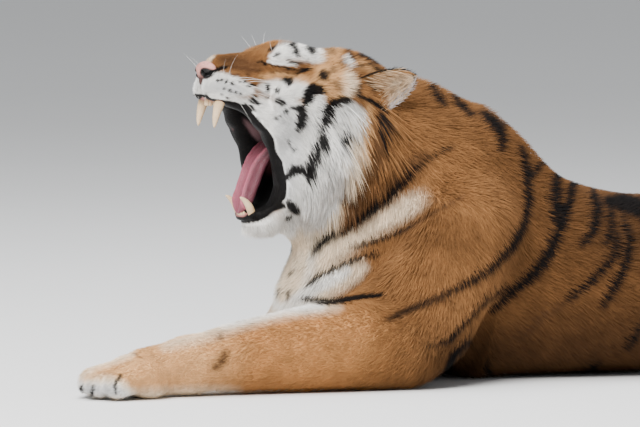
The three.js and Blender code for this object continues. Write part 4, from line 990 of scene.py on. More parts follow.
def finish(name, roughness, paint, bump=None, **constants):
    """A material: paint and bump are functions of the tree that give a colour, and a height
    with its distance."""
    material = bpy.data.materials.new(name)
    material.use_nodes = True
    tree = material.node_tree
    shader = tree.nodes["Principled BSDF"]
    tree.links.new(paint(tree).socket, shader.inputs["Base Color"])
    for key, value in constants.items():
        shader.inputs[key.replace("_", " ")].default_value = value
    if isinstance(roughness, float):
        shader.inputs["Roughness"].default_value = roughness
    else:
        tree.links.new(roughness(tree).socket, shader.inputs["Roughness"])
    if bump:
        height, distance = bump(tree)
        raised = node(tree, "ShaderNodeBump", None,
                      {"Strength": 1.0, "Distance": distance, "Height": height}, "Normal")
        tree.links.new(raised.socket, shader.inputs["Normal"])
    return material


def object_place(tree):
    """The place on the piece in metres, which holds its pattern to it."""
    return node(tree, "ShaderNodeTexCoord", None, None, "Object")


def noise(tree, scale, detail=3.0, stretch=(1, 1, 1)):
    """Noise in place, 0 to 1, of scale grains to the metre, fewer along a squeezed axis."""
    place = object_place(tree)
    if stretch != (1, 1, 1):
        place = node(tree, "ShaderNodeMapping", None, {"Vector": place, "Scale": stretch})
    return node(tree, "ShaderNodeTexNoise", None, {"Vector": place, "Scale": scale, "Detail": detail})


def coloured(attribute, scale, low, high):
    """The piece's own colours, made darker and lighter by noise, from low to high."""
    def paint(tree):
        own = node(tree, "ShaderNodeAttribute", {"attribute_name": attribute}, None, "Color")
        level = noise(tree, scale) * (2 * (high - low)) + (1.5 * low - 0.5 * high)
        level = node(tree, "ShaderNodeCombineXYZ", None, {0: level, 1: level, 2: level})
        return node(tree, "ShaderNodeVectorMath", {"operation": "MULTIPLY"}, {0: own, 1: level})
    return paint


def grain(scale, height, stretch=(1, 1, 1)):
    """Soft unevenness for a bump: a height and its distance in metres."""
    def bump(tree):
        return noise(tree, scale, 2.0, stretch), height
    return bump


fur_finish = finish("fur", 0.78, coloured("coat", 26.0, 0.82, 1.18), Specular_IOR_Level=0.1)


def hide_roughness(tree):
    """0.75 on dry skin, less by 0.27 where it is wet."""
    wet = node(tree, "ShaderNodeAttribute", {"attribute_name": "wet"}, None, "Fac")
    return 0.75 - wet * 0.27


hide_finish = finish("hide", hide_roughness, coloured("coat", 30.0, 0.8, 1.2), grain(420.0, 0.0012),
                     Specular_IOR_Level=0.06)


def piece(name, points, faces, material, colours, slot, replaces=(), uv=None, wet=None, smooth=True):
    """A mesh piece from arrays in millimetres, riding on the one body of a still model."""
    mesh = bpy.data.meshes.new(name)
    faces = np.ascontiguousarray(faces, np.int32)
    count, sides = faces.shape
    mesh.vertices.add(len(points))
    mesh.vertices.foreach_set("co", ((points - MIDDLE) / 1000).astype(np.float32).ravel())
    mesh.loops.add(count * sides)
    mesh.loops.foreach_set("vertex_index", faces.ravel())
    mesh.polygons.add(count)
    mesh.polygons.foreach_set("loop_start", np.arange(0, count * sides, sides, dtype=np.int32))
    mesh.polygons.foreach_set("use_smooth", np.full(count, smooth))
    mesh.update(calc_edges=True)
    paint = mesh.attributes.new("coat", "FLOAT_COLOR", "POINT")
    rgba = np.concatenate([colours, np.ones((len(colours), 1))], 1)
    paint.data.foreach_set("color", rgba.astype(np.float32).ravel())
    if wet is not None:
        mesh.attributes.new("wet", "FLOAT", "POINT").data.foreach_set("value", wet.astype(np.float32))
    if uv is not None:
        layer = mesh.uv_layers.new(name="OFBake")
        layer.data.foreach_set("uv", uv.astype(np.float32).ravel())
    mesh.materials.append(material)
    made = bpy.data.objects.new(name, mesh)
    bpy.context.scene.collection.objects.link(made)
    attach(made, "root")
    if replaces:
        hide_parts(*replaces)


SEPARATE = ("nose", "tongue", "ear_left", "ear_right", "upper_canine_left", "upper_canine_right",
            "lower_canine_left", "lower_canine_right")
flesh_nodes = [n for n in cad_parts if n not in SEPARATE]
skin_colours = skin_colour(skin_points, skin_normals)
in_mouth_face = (lining_share[skin_faces].mean(1) > 0.5).astype(int)
skin_uv = unwrap(skin_points, skin_faces, in_mouth_face)
piece("hide", skin_points, skin_faces, hide_finish, skin_colours, "coat", flesh_nodes, skin_uv, lip_share)

# ---- the lie of the coat -----------------------------------------------------
# Hair runs from the nose over the head and back to the tail, falls down the flanks, and
# turns forward along the outstretched legs. Each row is a place, a direction and a reach;
# those of LIE stand on the right side and are mirrored onto the left.
LIE = np.array([
    [-745, 0, 560, 1, 0, 0.5, 40], [-690, 0, 575, 1, 0, 0.15, 50], [-590, 0, 604, 1, 0, 0.05, 60],
    [-480, 0, 590, 1, 0, -0.3, 60], [-700, 55, 520, 1, 0.3, -0.15, 40],
    [-650, 60, 545, 1, 0.4, -0.05, 40], [-600, 90, 520, 1, 0.3, -0.35, 45],
    [-545, 130, 490, 0.8, 0.2, -0.5, 40], [-600, 100, 450, 0.8, 0.2, -0.6, 45],
    [-510, 135, 450, 0.32, 0.15, -1, 45], [-540, 130, 390, 0.16, 0.2, -1, 50],
    [-480, 135, 400, 0.2, 0.1, -1, 45], [-600, 100, 380, 0.45, 0.2, -0.8, 40],
    [-580, 100, 320, 0.12, 0.25, -1, 45], [-650, 30, 275, 0.6, 0.1, -0.8, 40],
    [-560, 40, 250, 0.3, 0.1, -1, 50], [-480, 120, 330, 0.1, 0.15, -1, 60],
    [-340, 0, 520, 0.9, 0, -0.4, 80], [-370, 150, 400, 0.6, 0.1, -0.85, 80],
    [-300, 230, 300, 0.35, 0.1, -1, 90], [-400, 250, 190, 0.0, 0.1, -1, 70],
    [-440, 280, 90, -0.7, 0, -0.7, 60], [-540, 0, 190, 0.1, 0, -1, 80],
    [-200, 60, 440, 0.9, 0.1, -0.4, 90], [-60, 0, 340, 1, 0, -0.1, 100],
    [-80, 220, 200, 0.85, 0, -0.5, 110], [120, 0, 320, 1, 0, 0, 120],
    [120, 230, 170, 0.9, 0, -0.45, 120], [120, 190, 30, 1, 0, -0.1, 90],
    [350, 0, 350, 1, 0, 0.05, 110], [350, 220, 200, 0.85, 0, -0.5, 100],
    [600, 0, 390, 1, 0, -0.1, 110], [600, 290, 220, 0.6, 0, -0.8, 100],
    [780, 0, 330, 0.7, 0, -0.7, 90], [780, 200, 200, 0.5, 0, -0.9, 90],
    [810, 210, 90, -0.1, 0, -1, 60], [640, 280, 50, -1, 0, 0, 80], [480, 290, 60, -1, 0, -0.1, 70],
    [400, 290, 60, -1, 0, -0.2, 60], [430, 290, 150, 0.2, 0, -1, 60],
    [860, 20, 130, 0.5, 0, -0.85, 60]], float)
LEG_LIE = np.array([
    [-520, -230, 90, -1, 0, -0.1, 60], [-640, -200, 80, -1, 0, -0.1, 80],
    [-800, -200, 70, -1, 0, -0.1, 80], [-960, -200, 60, -1, 0, -0.3, 80],
    [-480, 130, 80, -0.735, -0.678, -0.1, 60], [-580, 40, 70, -0.735, -0.678, -0.1, 70],
    [-680, -30, 60, -0.97, -0.2, -0.1, 50], [-790, -40, 50, -1, -0.1, -0.3, 70],
    [1000, 24, 60, 1, 0.25, -0.1, 80], [1150, 70, 40, 1, 0.28, 0, 90],
    [1320, 100, 40, 1, 0.02, 0, 90], [1480, 88, 40, 0.95, -0.3, 0, 80],
    [1590, 30, 35, 0.8, -0.6, 0, 70]], float)


def coat_lie(p, normal):
    """Unit direction in the skin: the guides' directions, weighed by exp(-(distance/reach)²)."""
    left = LIE * [1, -1, 1, 1, -1, 1, 1]
    total = np.zeros((len(p), 3))
    for row in np.concatenate([LIE, left, LEG_LIE]):
        d = row[3:6] / np.sqrt((row[3:6] ** 2).sum())
        away = ((p - row[:3]) ** 2).sum(1) / row[6] ** 2
        total += (np.exp(-away) + 1e-9 / (0.1 + away))[:, None] * d
    sway = np.stack([np.sin(p[:, 2] / 23 + p[:, 1] / 31), np.sin(p[:, 0] / 27), np.sin(p[:, 0] / 19 + 2)], 1)
    total /= np.maximum(np.sqrt((total ** 2).sum(1)), 1e-9)[:, None]
    total += 0.12 * sway
    total -= (total * normal).sum(1)[:, None] * normal
    return total / np.maximum(np.sqrt((total ** 2).sum(1)), 1e-9)[:, None]


# ---- coat --------------------------------------------------------------------
# Tufts of hair cover the hide: each is a closed blade of four faces, rooted in the skin,
# with a ridge near its middle and its tip at the coat's surface. They are dense and fine on
# the face and paws, longer and broader on the body.


FLANK_SPACING = 3.3


def tuft_spacing(p):
    """Millimetres from tuft to tuft: closer by smooth steps on head and paws, wide below."""
    x, y, z = p[:, 0], np.abs(p[:, 1]), p[:, 2]
    gap = FLANK_SPACING - 0.45 * ramp(-x, 300, 420) - 0.35 * ramp(-x, 380, 500) * ramp(z, 200, 260)
    gap -= 0.6 * ramp(-x, 540, 620) * ramp(z, 240, 300)
    gap -= 0.6 * ramp(-x, 640, 700) * ramp(z, 240, 300)
    gap -= 0.45 * ramp(-x, 800, 880) * ramp(-z, -170, -130)
    gap -= 0.7 * ramp(-x, 680, 720) * ramp(-z, -150, -120) * ramp(-y, -130, -110)
    gap += 2.5 * ramp(-z, -16, -6)
    return gap


def scatter(points, faces, spacing, draw):
    """Random places on the faces, about one for each spacing squared: the face and weights."""
    a, b, c = points[faces[:, 0]], points[faces[:, 1]], points[faces[:, 2]]
    area = 0.5 * np.sqrt((np.cross(b - a, c - a) ** 2).sum(1))
    number = area / spacing ** 2
    number = np.floor(number + draw.random(len(number))).astype(int)
    face = np.repeat(np.arange(len(faces)), number)
    r, s = draw.random(len(face)), draw.random(len(face))
    flip = r + s > 1
    r, s = np.where(flip, 1 - r, r), np.where(flip, 1 - s, s)
    return face, np.stack([1 - r - s, r, s], 1)


def spread(values, faces, face, weight):
    """The values of each root, weighed from the corners of the face that it stands on."""
    return (values[faces[face]] * weight[:, :, None]).sum(1)


def rows_unit(v):
    """Each row over its length."""
    return v / np.maximum(np.sqrt((v ** 2).sum(1)), 1e-9)[:, None]


TUFT_SUNK, TUFT_RIDGE = 1.2, 0.45   # depth of the root, share of the length at the ridge
HAIR_OVER_FLOOR = 0.4


def tuft_mesh(root, normal, lie, length, width, lift, turn):
    """Four corners of each tuft: two at the root, sunk in the skin, the tip, lifted over it, and
    a ridge between them, 0.3 of the width above the straight blade. Four faces close it."""
    side = np.cross(normal, lie)
    lie = rows_unit(lie + turn[:, None] * side)
    side = np.cross(normal, lie)
    sunk = root - TUFT_SUNK * normal
    left, right = sunk - side * width[:, None] / 2, sunk + side * width[:, None] / 2
    rise = TUFT_RIDGE * (lift + TUFT_SUNK) - TUFT_SUNK + 0.3 * width
    ridge = root + lie * (TUFT_RIDGE * length)[:, None] + normal * rise[:, None]
    tip = root + lie * length[:, None] + normal * lift[:, None]
    points = np.stack([left, right, ridge, tip], 1)
    points[:, :, 2] = np.maximum(points[:, :, 2], HAIR_OVER_FLOOR)
    return points.reshape(-1, 3)


TUFT_FACES = np.array([[0, 1, 2], [1, 3, 2], [0, 2, 3], [0, 3, 1]])
PATCH = 0.0015                  # half the side of a tuft's patch on the unwrap
TUFT_PATCH = np.array([[-PATCH, -PATCH], [PATCH, -PATCH], [0, 0.0004], [0, PATCH]])
MOST_TRIANGLES = 198000


def tuft_pieces(name, corners, colours, root_uv, shade):
    """Splits the tufts over pieces under the limit, and gives each its colours and patches."""
    count = len(root_uv)
    pieces = int(np.ceil(count * 4 / MOST_TRIANGLES))
    for i in range(pieces):
        part = slice(i * count // pieces, (i + 1) * count // pieces)
        n = part.stop - part.start
        faces = (TUFT_FACES[None] + 4 * np.arange(n)[:, None, None]).reshape(-1, 3)
        points = corners.reshape(-1, 4, 3)[part].reshape(-1, 3)
        tone = colours[part][:, None, :] * shade[None, :, None]
        uv = root_uv[part][:, None, None, :] + TUFT_PATCH[TUFT_FACES][None]
        piece(f"{name}_{i + 1}", points, faces, fur_finish, tone.reshape(-1, 3), "coat",
              uv=uv.reshape(-1, 2), smooth=False)


bare = (skin_points[:, 2] < 4) | (lip_share > 0.4)
hairy = ~bare[skin_faces].any(1)
coat_faces = skin_faces[hairy]
coat_uv = skin_uv[hairy]
centre = skin_points[coat_faces].mean(1)
thin_out = 1.0


def seats(face, weight):
    """Place, normal, patch on the unwrap, and lie of the hair at roots on the skin."""
    root = spread(skin_points, coat_faces, face, weight)
    normal = rows_unit(spread(skin_normals, coat_faces, face, weight))
    return root, normal, (coat_uv[face] * weight[:, :, None]).sum(1), coat_lie(root, normal)


face, weight = scatter(skin_points, coat_faces, tuft_spacing(centre) * thin_out, rng)
order = rng.permutation(len(face))
root, normal, root_uv, lie = seats(face[order], weight[order])
depth = coat_depth(root)
chin = ramp(-root[:, 2], -300, -280) * ramp(-root[:, 0], 590, 620) * ramp(root[:, 2], 230, 250)
length = (5.5 + 1.25 * depth + 9 * chin) * rng.uniform(0.75, 1.3, len(root))
lift = (depth + 3 * chin) * rng.uniform(0.74, 1.0, len(root))
width = (0.7 + 0.085 * depth) * rng.uniform(0.8, 1.25, len(root)) * thin_out
shown = root + lie * (0.62 * length)[:, None] + normal * (0.6 * lift)[:, None]
tone = coat_colour(shown, normal)
tone *= rng.uniform(0.82, 1.1, (len(root), 1))
corners = tuft_mesh(root, normal, lie, length, width, lift, rng.normal(0, 0.13, len(root)))
# Painted shade at the roots and painted light at the tips of the tufts.
COAT_SHADE = np.array([0.86, 0.86, 0.97, 1.05])             # root, root, ridge and tip
tuft_pieces("coat", corners, tone, root_uv, COAT_SHADE)

# ---- ruff --------------------------------------------------------------------
# Long soft locks grow from each cheek and fall back and down over the neck. Each is a
# closed, three-sided tapering strand that bends under its own weight.
LOCK_RINGS, LOCK_SUNK = 4, 1.5


def strands(root, normal, lie, length, width, lift, sag):
    """Rings of three corners at u = 0, 1/4, 1/2, 3/4 and a tip: root + lie L u + normal
    H u^0.8 - z sag u u, with the width falling as (1 - u)^0.7."""
    n = len(root)
    side = np.cross(normal, lie)
    rings = []
    for k in range(LOCK_RINGS):
        u = k / LOCK_RINGS
        rise = lift * u ** 0.8 - LOCK_SUNK * (k == 0)
        middle = root + lie * (length * u)[:, None] + normal * rise[:, None]
        middle[:, 2] -= sag * u * u
        w = (width * 0.5 * (1 - u) ** 0.7)[:, None]
        rings += [middle - side * w, middle + side * w, middle + normal * w * 0.7]
    tip = root + lie * length[:, None] + normal * lift[:, None]
    tip[:, 2] -= sag
    points = np.stack(rings + [tip], 1)
    points[:, :, 2] = np.maximum(points[:, :, 2], HAIR_OVER_FLOOR)
    return points.reshape(-1, 3)


def strand_faces():
    """A triangle at the root, six between one ring and the next, and three at the tip."""
    faces = [[0, 2, 1]]
    for k in range(LOCK_RINGS - 1):
        a, b = 3 * k, 3 * k + 3
        for s in range(3):
            t = (s + 1) % 3
            faces += [[a + s, a + t, b + t], [a + s, b + t, b + s]]
    a, tip = 3 * (LOCK_RINGS - 1), 3 * LOCK_RINGS
    return np.array(faces + [[a + s, a + (s + 1) % 3, tip] for s in range(3)])


STRAND_FACES = strand_faces()
STRAND_CORNERS = 3 * LOCK_RINGS + 1


def strand_piece(name, points, colours, root_uv, shade):
    """Many strands as one piece, shaded from root to tip, each a small patch on the unwrap."""
    n = len(root_uv)
    faces = (STRAND_FACES[None] + STRAND_CORNERS * np.arange(n)[:, None, None]).reshape(-1, 3)
    ring = np.concatenate([np.repeat(np.linspace(shade[0], shade[1], LOCK_RINGS), 3), [shade[1]]])
    tone = colours[:, None, :] * ring[None, :, None]
    spot = np.concatenate([np.tile([[-PATCH, 0], [PATCH, 0], [0, 0.001]], (LOCK_RINGS, 1)), [[0, PATCH]]])
    spot[:, 1] += np.concatenate([np.repeat(np.linspace(-PATCH, 0.0005, LOCK_RINGS), 3), [0]])
    uv = root_uv[:, None, None, :] + spot[STRAND_FACES][None]
    piece(name, points, faces, fur_finish, tone.reshape(-1, 3), "pale_coat", uv=uv.reshape(-1, 2))


def ruff_share(p):
    """1 in the middle of the ruff, 0 off it."""
    x, y, z = p[:, 0], np.abs(p[:, 1]), p[:, 2]
    rear = -470 + (z - 394) * 0.507
    return (ramp(x, -600, -560) * ramp(rear + 24 - x, 0, 24) * ramp(z, 285, 320) * ramp(-z, -500, -470)
            * ramp(y, 60, 84))


share = ruff_share(centre)
spacing = np.where(share > 0.05, 3.0 / np.sqrt(np.maximum(share, 0.05)), 1e6) * thin_out
root, normal, root_uv, lie = seats(*scatter(skin_points, coat_faces, spacing, rng))
back = ramp(root[:, 0] + 600, 0, 120)
low = ramp(-root[:, 2], -400, -300)
length = (22 + 46 * back - 16 * low * back) * rng.uniform(0.7, 1.2, len(root))
lift = (9 + 12 * back) * rng.uniform(0.5, 1.1, len(root))
shown = root + lie * (0.5 * length)[:, None] + normal * (0.6 * lift)[:, None]
tone = coat_colour(shown, normal) * rng.uniform(0.88, 1.1, (len(root), 1))
CLUMPS = np.array([[1 / 7, 1 / 13, 1 / 10], [1 / 15, 1 / 9, 1 / 12], [1 / 11, 1 / 9, -1 / 8]])
clump = np.sin(root @ CLUMPS.T)
length *= 1 + 0.14 * clump[:, 0]
lie = rows_unit(lie + 0.11 * clump + rng.normal(0, 0.06, (len(root), 3)))
width = 2.3 * rng.uniform(0.8, 1.3, len(root)) * thin_out
points = strands(root, normal, lie, length, width, lift, 10.0)
for side, word in ((-1, "left"), (1, "right")):
    here = np.sign(root[:, 1]) == side
    own_points = points.reshape(-1, STRAND_CORNERS, 3)[here].reshape(-1, 3)
    # Painted shade at the root and painted light at the tip of each lock.
    strand_piece(f"ruff_{word}", own_points, tone[here], root_uv[here], (0.85, 1.06))

# ---- ears --------------------------------------------------------------------
# Short round ears laid back: sheets of skin with fur on both sides, black behind with a
# white spot, cream inside, and longer hair that grows from both edges over the opening.
EAR_ROOT, EAR_LENGTH, EAR_HALF, EAR_DEPTH, EAR_SUNK = [-468, 92, 500], 92.0, 37.0, 23.0, 0.3
# EAR_SHADE: painted shade at the roots and painted light at the tips of the ear's tufts.
EAR_SHADE = np.array([0.78, 0.78, 0.95, 1.06])


def outward(points, faces):
    """The faces of a closed mesh, turned round if the volume in them comes out negative."""
    a, b, c = (points[faces[:, i]] for i in range(3))
    volume = (np.cross(b - a, c - a) * (a - points.mean(0))).sum()
    return faces[:, ::-1] if volume < 0 else faces


def ear_sheet(side, rows=26, columns=30):
    """A cup: root + axis L v + across half(v) u + open (thickness - sag), u from rim to rim,
    v from root to tip, half = H sqrt(1 - v^1.8), sag = D (1 - u u) sqrt(1.02 - v v)."""
    root = np.array([EAR_ROOT[0], side * EAR_ROOT[1], EAR_ROOT[2]], float)
    axis = rows_unit(np.array([[0.86, side * 0.30, 0.40]]))[0]
    facing = np.array([-0.36, side * 0.92, -0.1])
    facing = rows_unit((facing - axis * (facing @ axis))[None])[0]
    across = np.cross(axis, facing)
    v, u = np.meshgrid(np.linspace(-EAR_SUNK, 1, rows), np.linspace(-1, 1, columns), indexing="ij")
    up = np.maximum(v, 0)
    half = EAR_HALF * np.sqrt(np.maximum(0.01, 1 - up ** 1.8)) * np.where(v < 0, 1 + 0.6 * v, 1)
    sag = EAR_DEPTH * (1 - u * u) * np.sqrt(1.02 - up ** 2)
    sheets = []
    for front in (0, 1):
        thick = 1.2 + 4.5 * (1 - u ** 4) * (1 - up ** 5) if front else 0 * u
        sheets.append(root + axis * (EAR_LENGTH * v)[..., None] + across * (half * u)[..., None]
                      + facing * (thick - sag)[..., None])
    points = np.concatenate([s.reshape(-1, 3) for s in sheets])
    index = np.arange(rows * columns).reshape(rows, columns)
    a, b, c, d = index[:-1, :-1], index[1:, :-1], index[1:, 1:], index[:-1, 1:]
    back = np.stack([a, b, c, d], -1).reshape(-1, 4)
    front = np.stack([a, d, c, b], -1).reshape(-1, 4) + rows * columns
    loop = np.concatenate([index[0, :-1], index[:-1, -1], index[-1, :0:-1], index[:0:-1, 0]])
    after = np.roll(loop, -1)
    rim = np.stack([loop, after, after + rows * columns, loop + rows * columns], -1)
    quads = np.concatenate([back, front, rim])
    faces = outward(points, np.concatenate([quads[:, :3], quads[:, [0, 2, 3]]]))
    uv = np.stack([np.tile(u.ravel(), 2), np.tile(v.ravel(), 2), np.repeat([0, 1], rows * columns)], 1)
    return points, faces, uv, axis, across, facing


def vertex_normals(points, faces):
    """Unit sum of the normals of the faces round each point, larger faces counting more."""
    a, b, c = (points[faces[:, i]] for i in range(3))
    n = np.cross(b - a, c - a)
    total = np.zeros_like(points)
    for i in range(3):
        np.add.at(total, faces[:, i], n)
    return rows_unit(total)


def ear_colour(place, side):
    """Black back with a white spot and an orange base; tan to cream inside, a pale lower rim
    and a black line along the upper one."""
    u, v, front = place.T
    lower = -side * u
    back = np.tile(BLACK, (len(u), 1))
    spot = ramp(-np.hypot(u * 0.9, (v - 0.62) * 1.7), -0.42, -0.3)[:, None]
    back = back + spot * (WHITE - back)
    back = back + ramp(-v, -0.28, -0.1)[:, None] * (ORANGE - back)
    inner = np.tile(0.5 * AMBER + 0.5 * TAN, (len(u), 1))
    inner += (0.85 * ramp(v, 0.15, 0.6) * ramp(lower, -0.8, -0.1))[:, None] * (CREAM * 0.62 - inner)
    inner += (0.9 * ramp(lower, 0.35, 0.75))[:, None] * (WHITE * [0.62, 0.57, 0.58] - inner)
    inner += (0.6 * ramp(-v, -0.40, -0.10))[:, None] * (RUSSET - inner)
    inner += ramp(-lower, 0.88, 0.95)[:, None] * (BLACK - inner)
    return np.where(front[:, None] > 0.5, inner, back)


for side, word in ((-1, "left"), (1, "right")):
    points, faces, place, axis, across, facing = ear_sheet(side)
    normals = vertex_normals(points, faces)
    spot = 0.004 * (place[:, :2] @ np.array([[1, 0], [0, 1.4]])) + [0.93 + 0.02 * side, 0.96]
    piece(f"ear_skin_{word}", points, faces, hide_finish, ear_colour(place, side), "coat",
          [f"ear_{word}"], spot[faces].reshape(-1, 2), np.zeros(len(points)))
    face, weight = scatter(points, faces, np.full(len(faces), 1.9 * thin_out), rng)
    root = spread(points, faces, face, weight)
    normal = rows_unit(spread(normals, faces, face, weight))
    where = spread(place, faces, face, weight)
    lie = axis + 0.25 * across * np.sign(where[:, 0:1])
    lie = rows_unit(lie - (lie * normal).sum(1)[:, None] * normal)
    tone = ear_colour(where, side) * rng.uniform(0.88, 1.12, (len(root), 1))
    size = rng.uniform(0.8, 1.25, len(root))
    corners = tuft_mesh(root, normal, lie, 9 * size, 1.3 * size * thin_out, 2.2 * size,
                        rng.normal(0, 0.2, len(root)))
    root_uv = spread(spot, faces, face, weight)
    tuft_pieces(f"ear_coat_{word}", corners, tone, root_uv, EAR_SHADE)
    inner = (where[:, 2] > 0.5) & (where[:, 1] > 0.02) & (where[:, 1] < 0.75) & (rng.random(len(root)) < 0.16)
    inner &= np.abs(where[:, 0]) > 0.25
    n = int(inner.sum())
    reach = rows_unit(axis * 1.1 - across * np.sign(where[inner, 0:1]) * 0.45 + facing * 0.4)
    size = rng.uniform(0.7, 1.2, n)
    hair = strands(root[inner], normal[inner], rows_unit(reach + rng.normal(0, 0.12, (n, 3))), 28 * size,
                   1.5 * size, 5 * size, 3.0)
    tone = (0.5 * TAN + 0.4 * CREAM) * rng.uniform(0.6, 1.15, (n, 1))
    # Painted shade at the root and painted light at the tip of each hair.
    strand_piece(f"ear_hair_{word}", hair, tone, root_uv[inner], (0.75, 1.1))

# ---- nose --------------------------------------------------------------------
# Pink, moist leather with a pebbled grain and two comma-shaped nostrils, dark below.


def nose_form(p):
    """A broad pad with two wings and a ridge under it; nostrils and the middle groove cut in."""
    q = mirrored(p)
    pad = blend(7, ball(q, [-733, 0, 551], [15, 25, 14], 0.3), ball(q, [-731, 15, 545], [14, 14, 14]),
                limb(q, [-740, 0, 545], 7, [-741, 0, 528], 4))
    pad = carve(pad, ball(q, [-746, 14, 544], [14, 6, 5.5], 0.5), 3)
    pad = carve(pad, chain(q, [[-744, 15, 543], [-733, 27, 546], [-718, 32, 551]], [3.8, 3.0, 1.8]), 3)
    return carve(pad, chain(q, [[-754, 0, 562], [-752, 0, 528]], [0.8, 1.8]), 3)


NOSE_LOW, NOSE_HIGH = np.array([-766.0, -38.0, 516.0]), np.array([-706.0, 38.0, 574.0])
NOSE_CELL = 1.35
nose_values = grid_values(nose_form, NOSE_LOW, NOSE_HIGH, NOSE_CELL)
nose_points, nose_faces = net(nose_values, NOSE_LOW, NOSE_CELL)
nose_points = drawn(nose_form, nose_points, NOSE_CELL)
nose_side = mirrored(nose_points)
# The pit is painted near black: painted shade inside the nostrils, and black skin on the wings beside them.
pit = ramp(-blend(2, ball(nose_side, [-746, 14, 544], [15, 7, 6.5], 0.5),
                  chain(nose_side, [[-744, 15, 543], [-718, 32, 551]], [4.6, 3.4])), -1.5, 1.0)
pit = np.maximum(pit, ramp(-ball(nose_side, [-737, 19, 545.5], [24, 12, 9.5]), -1.5, 1.0))
LEATHER, NOSTRIL = np.array([0.50, 0.235, 0.20]), np.array([0.006, 0.005, 0.005])
nose_colours = LEATHER + pit[:, None] * (NOSTRIL - LEATHER)
nose_colours *= (1 - 0.88 * ramp(-nose_points[:, 2], -545, -535))[:, None]


def pebbled(scale, height):
    """Small cells, scale of them to the metre, for a bump: a height and its distance."""
    def bump(tree):
        place = object_place(tree)
        return node(tree, "ShaderNodeTexVoronoi", None, {"Vector": place, "Scale": scale}), height
    return bump


leather = finish("nose leather", 0.5, coloured("coat", 160.0, 0.8, 1.2), pebbled(620.0, 0.0006),
                 Specular_IOR_Level=0.25)
piece("nose_leather", nose_points, nose_faces, leather, nose_colours, "nose_leather", ["nose"])

# ---- teeth -------------------------------------------------------------------
# Bent ivory canines, yellower at the gum, six incisors above and below, and three cheek
# teeth on each side in the shade of the upper lip.


def stitched(points, rings, sides):
    """Faces of a closed tube of rings of points, with a pole for each end after them: two
    triangles for each side from one ring to the next, and one to the pole at the ends."""
    s = np.arange(sides)
    t = (s + 1) % sides
    faces = []
    for k in range(rings - 1):
        a, b = k * sides, (k + 1) * sides
        faces += [np.stack([a + s, a + t, b + t], 1), np.stack([a + s, b + t, b + s], 1)]
    first, end = s * 0 + rings * sides, (rings - 1) * sides
    faces += [np.stack([first, t, s], 1), np.stack([first + 1, end + s, end + t], 1)]
    return outward(points, np.concatenate(faces))


def tube(line, radii, sides=20, flat=1.0):
    """A closed tapering tube: rings of the radii at the line's points, across its direction."""
    line, radii = np.array(line, float), np.array(radii, float)
    run = rows_unit(np.gradient(line, axis=0))
    aside = rows_unit(np.cross(run, np.array([0.0, 1.0, 0.013])))
    wide = np.cross(aside, run)
    turn = np.linspace(0, 2 * np.pi, sides, endpoint=False)
    ring = (aside[:, None] * np.cos(turn)[:, None] + wide[:, None] * flat * np.sin(turn)[:, None])
    rings = line[:, None] + ring * radii[:, None, None]
    points = np.concatenate([rings.reshape(-1, 3), line[:1], line[-1:]])
    return points, stitched(points, len(line), sides)


def bent(root, middle, tip, steps=18):
    """A parabola through three points: the weights (1-u)(1-2u), 4u(1-u) and u(2u-1)."""
    root, middle, tip = np.array(root), np.array(middle), np.array(tip)
    u = np.linspace(0, 1, steps)[:, None]
    return (1 - u) * (1 - 2 * u) * root + 4 * u * (1 - u) * middle + u * (2 * u - 1) * tip


IVORY, ROOT_IVORY = np.array([0.70, 0.51, 0.31]), np.array([0.50, 0.33, 0.17])
ivory = finish("ivory", 0.3, coloured("coat", 90.0, 0.9, 1.1), grain(60.0, 0.0006, (1, 1, 0.2)),
               Specular_IOR_Level=0.5)


def tooth_colours(points, gum, tip):
    """Yellow at the gum, ivory to the tip."""
    run = np.array(tip, float) - gum
    u = (points - gum) @ run / (run @ run)
    return ROOT_IVORY + ramp(u, -0.05, 0.5)[:, None] * (IVORY - ROOT_IVORY)


CANINE_RINGS = 22


def canine(row, side, word, gum, tip, radius, bend, sunk):
    """A bent tube from sunk of its length under the gum, blunt at the tip: its radius is
    R (1 - u / 10), and falls as the root of 1.5 (1 - u) near the tip."""
    gum, tip = np.array(gum, float) * [1, side, 1], np.array(tip, float) * [1, side, 1]
    root = gum - sunk * (tip - gum)
    line = bent(root, 0.5 * (root + tip) + bend, tip, CANINE_RINGS)
    u = np.linspace(0, 1, CANINE_RINGS)
    radii = radius * np.minimum(1, np.sqrt((1 - u) * 1.5 + 0.004)) * (1 - 0.1 * u)
    points, faces = tube(line, radii, 22, 0.88)
    piece(f"canine_{row}_{word}", points, faces, ivory, tooth_colours(points, gum, tip), "tooth",
          [f"{row}_canine_{word}"])


for side, word in ((-1, "left"), (1, "right")):
    canine("upper", side, word, [-716, 35, 502], [-732, 35.5, 450.5], 10.2, [-3.5, 0, 0], 0.34)
    canine("lower", side, word, [-660, 29, 300], [-682, 32, 328.4], 7.2, [3, 0, 3.5], 0.12)


def joined(meshes):
    """Points and faces of many meshes as one, each mesh's faces counted from its own start."""
    sizes = [len(points) for points, _ in meshes]
    starts = np.cumsum([0] + sizes[:-1])
    return (np.concatenate([points for points, _ in meshes]),
            np.concatenate([faces + start for (_, faces), start in zip(meshes, starts)]))


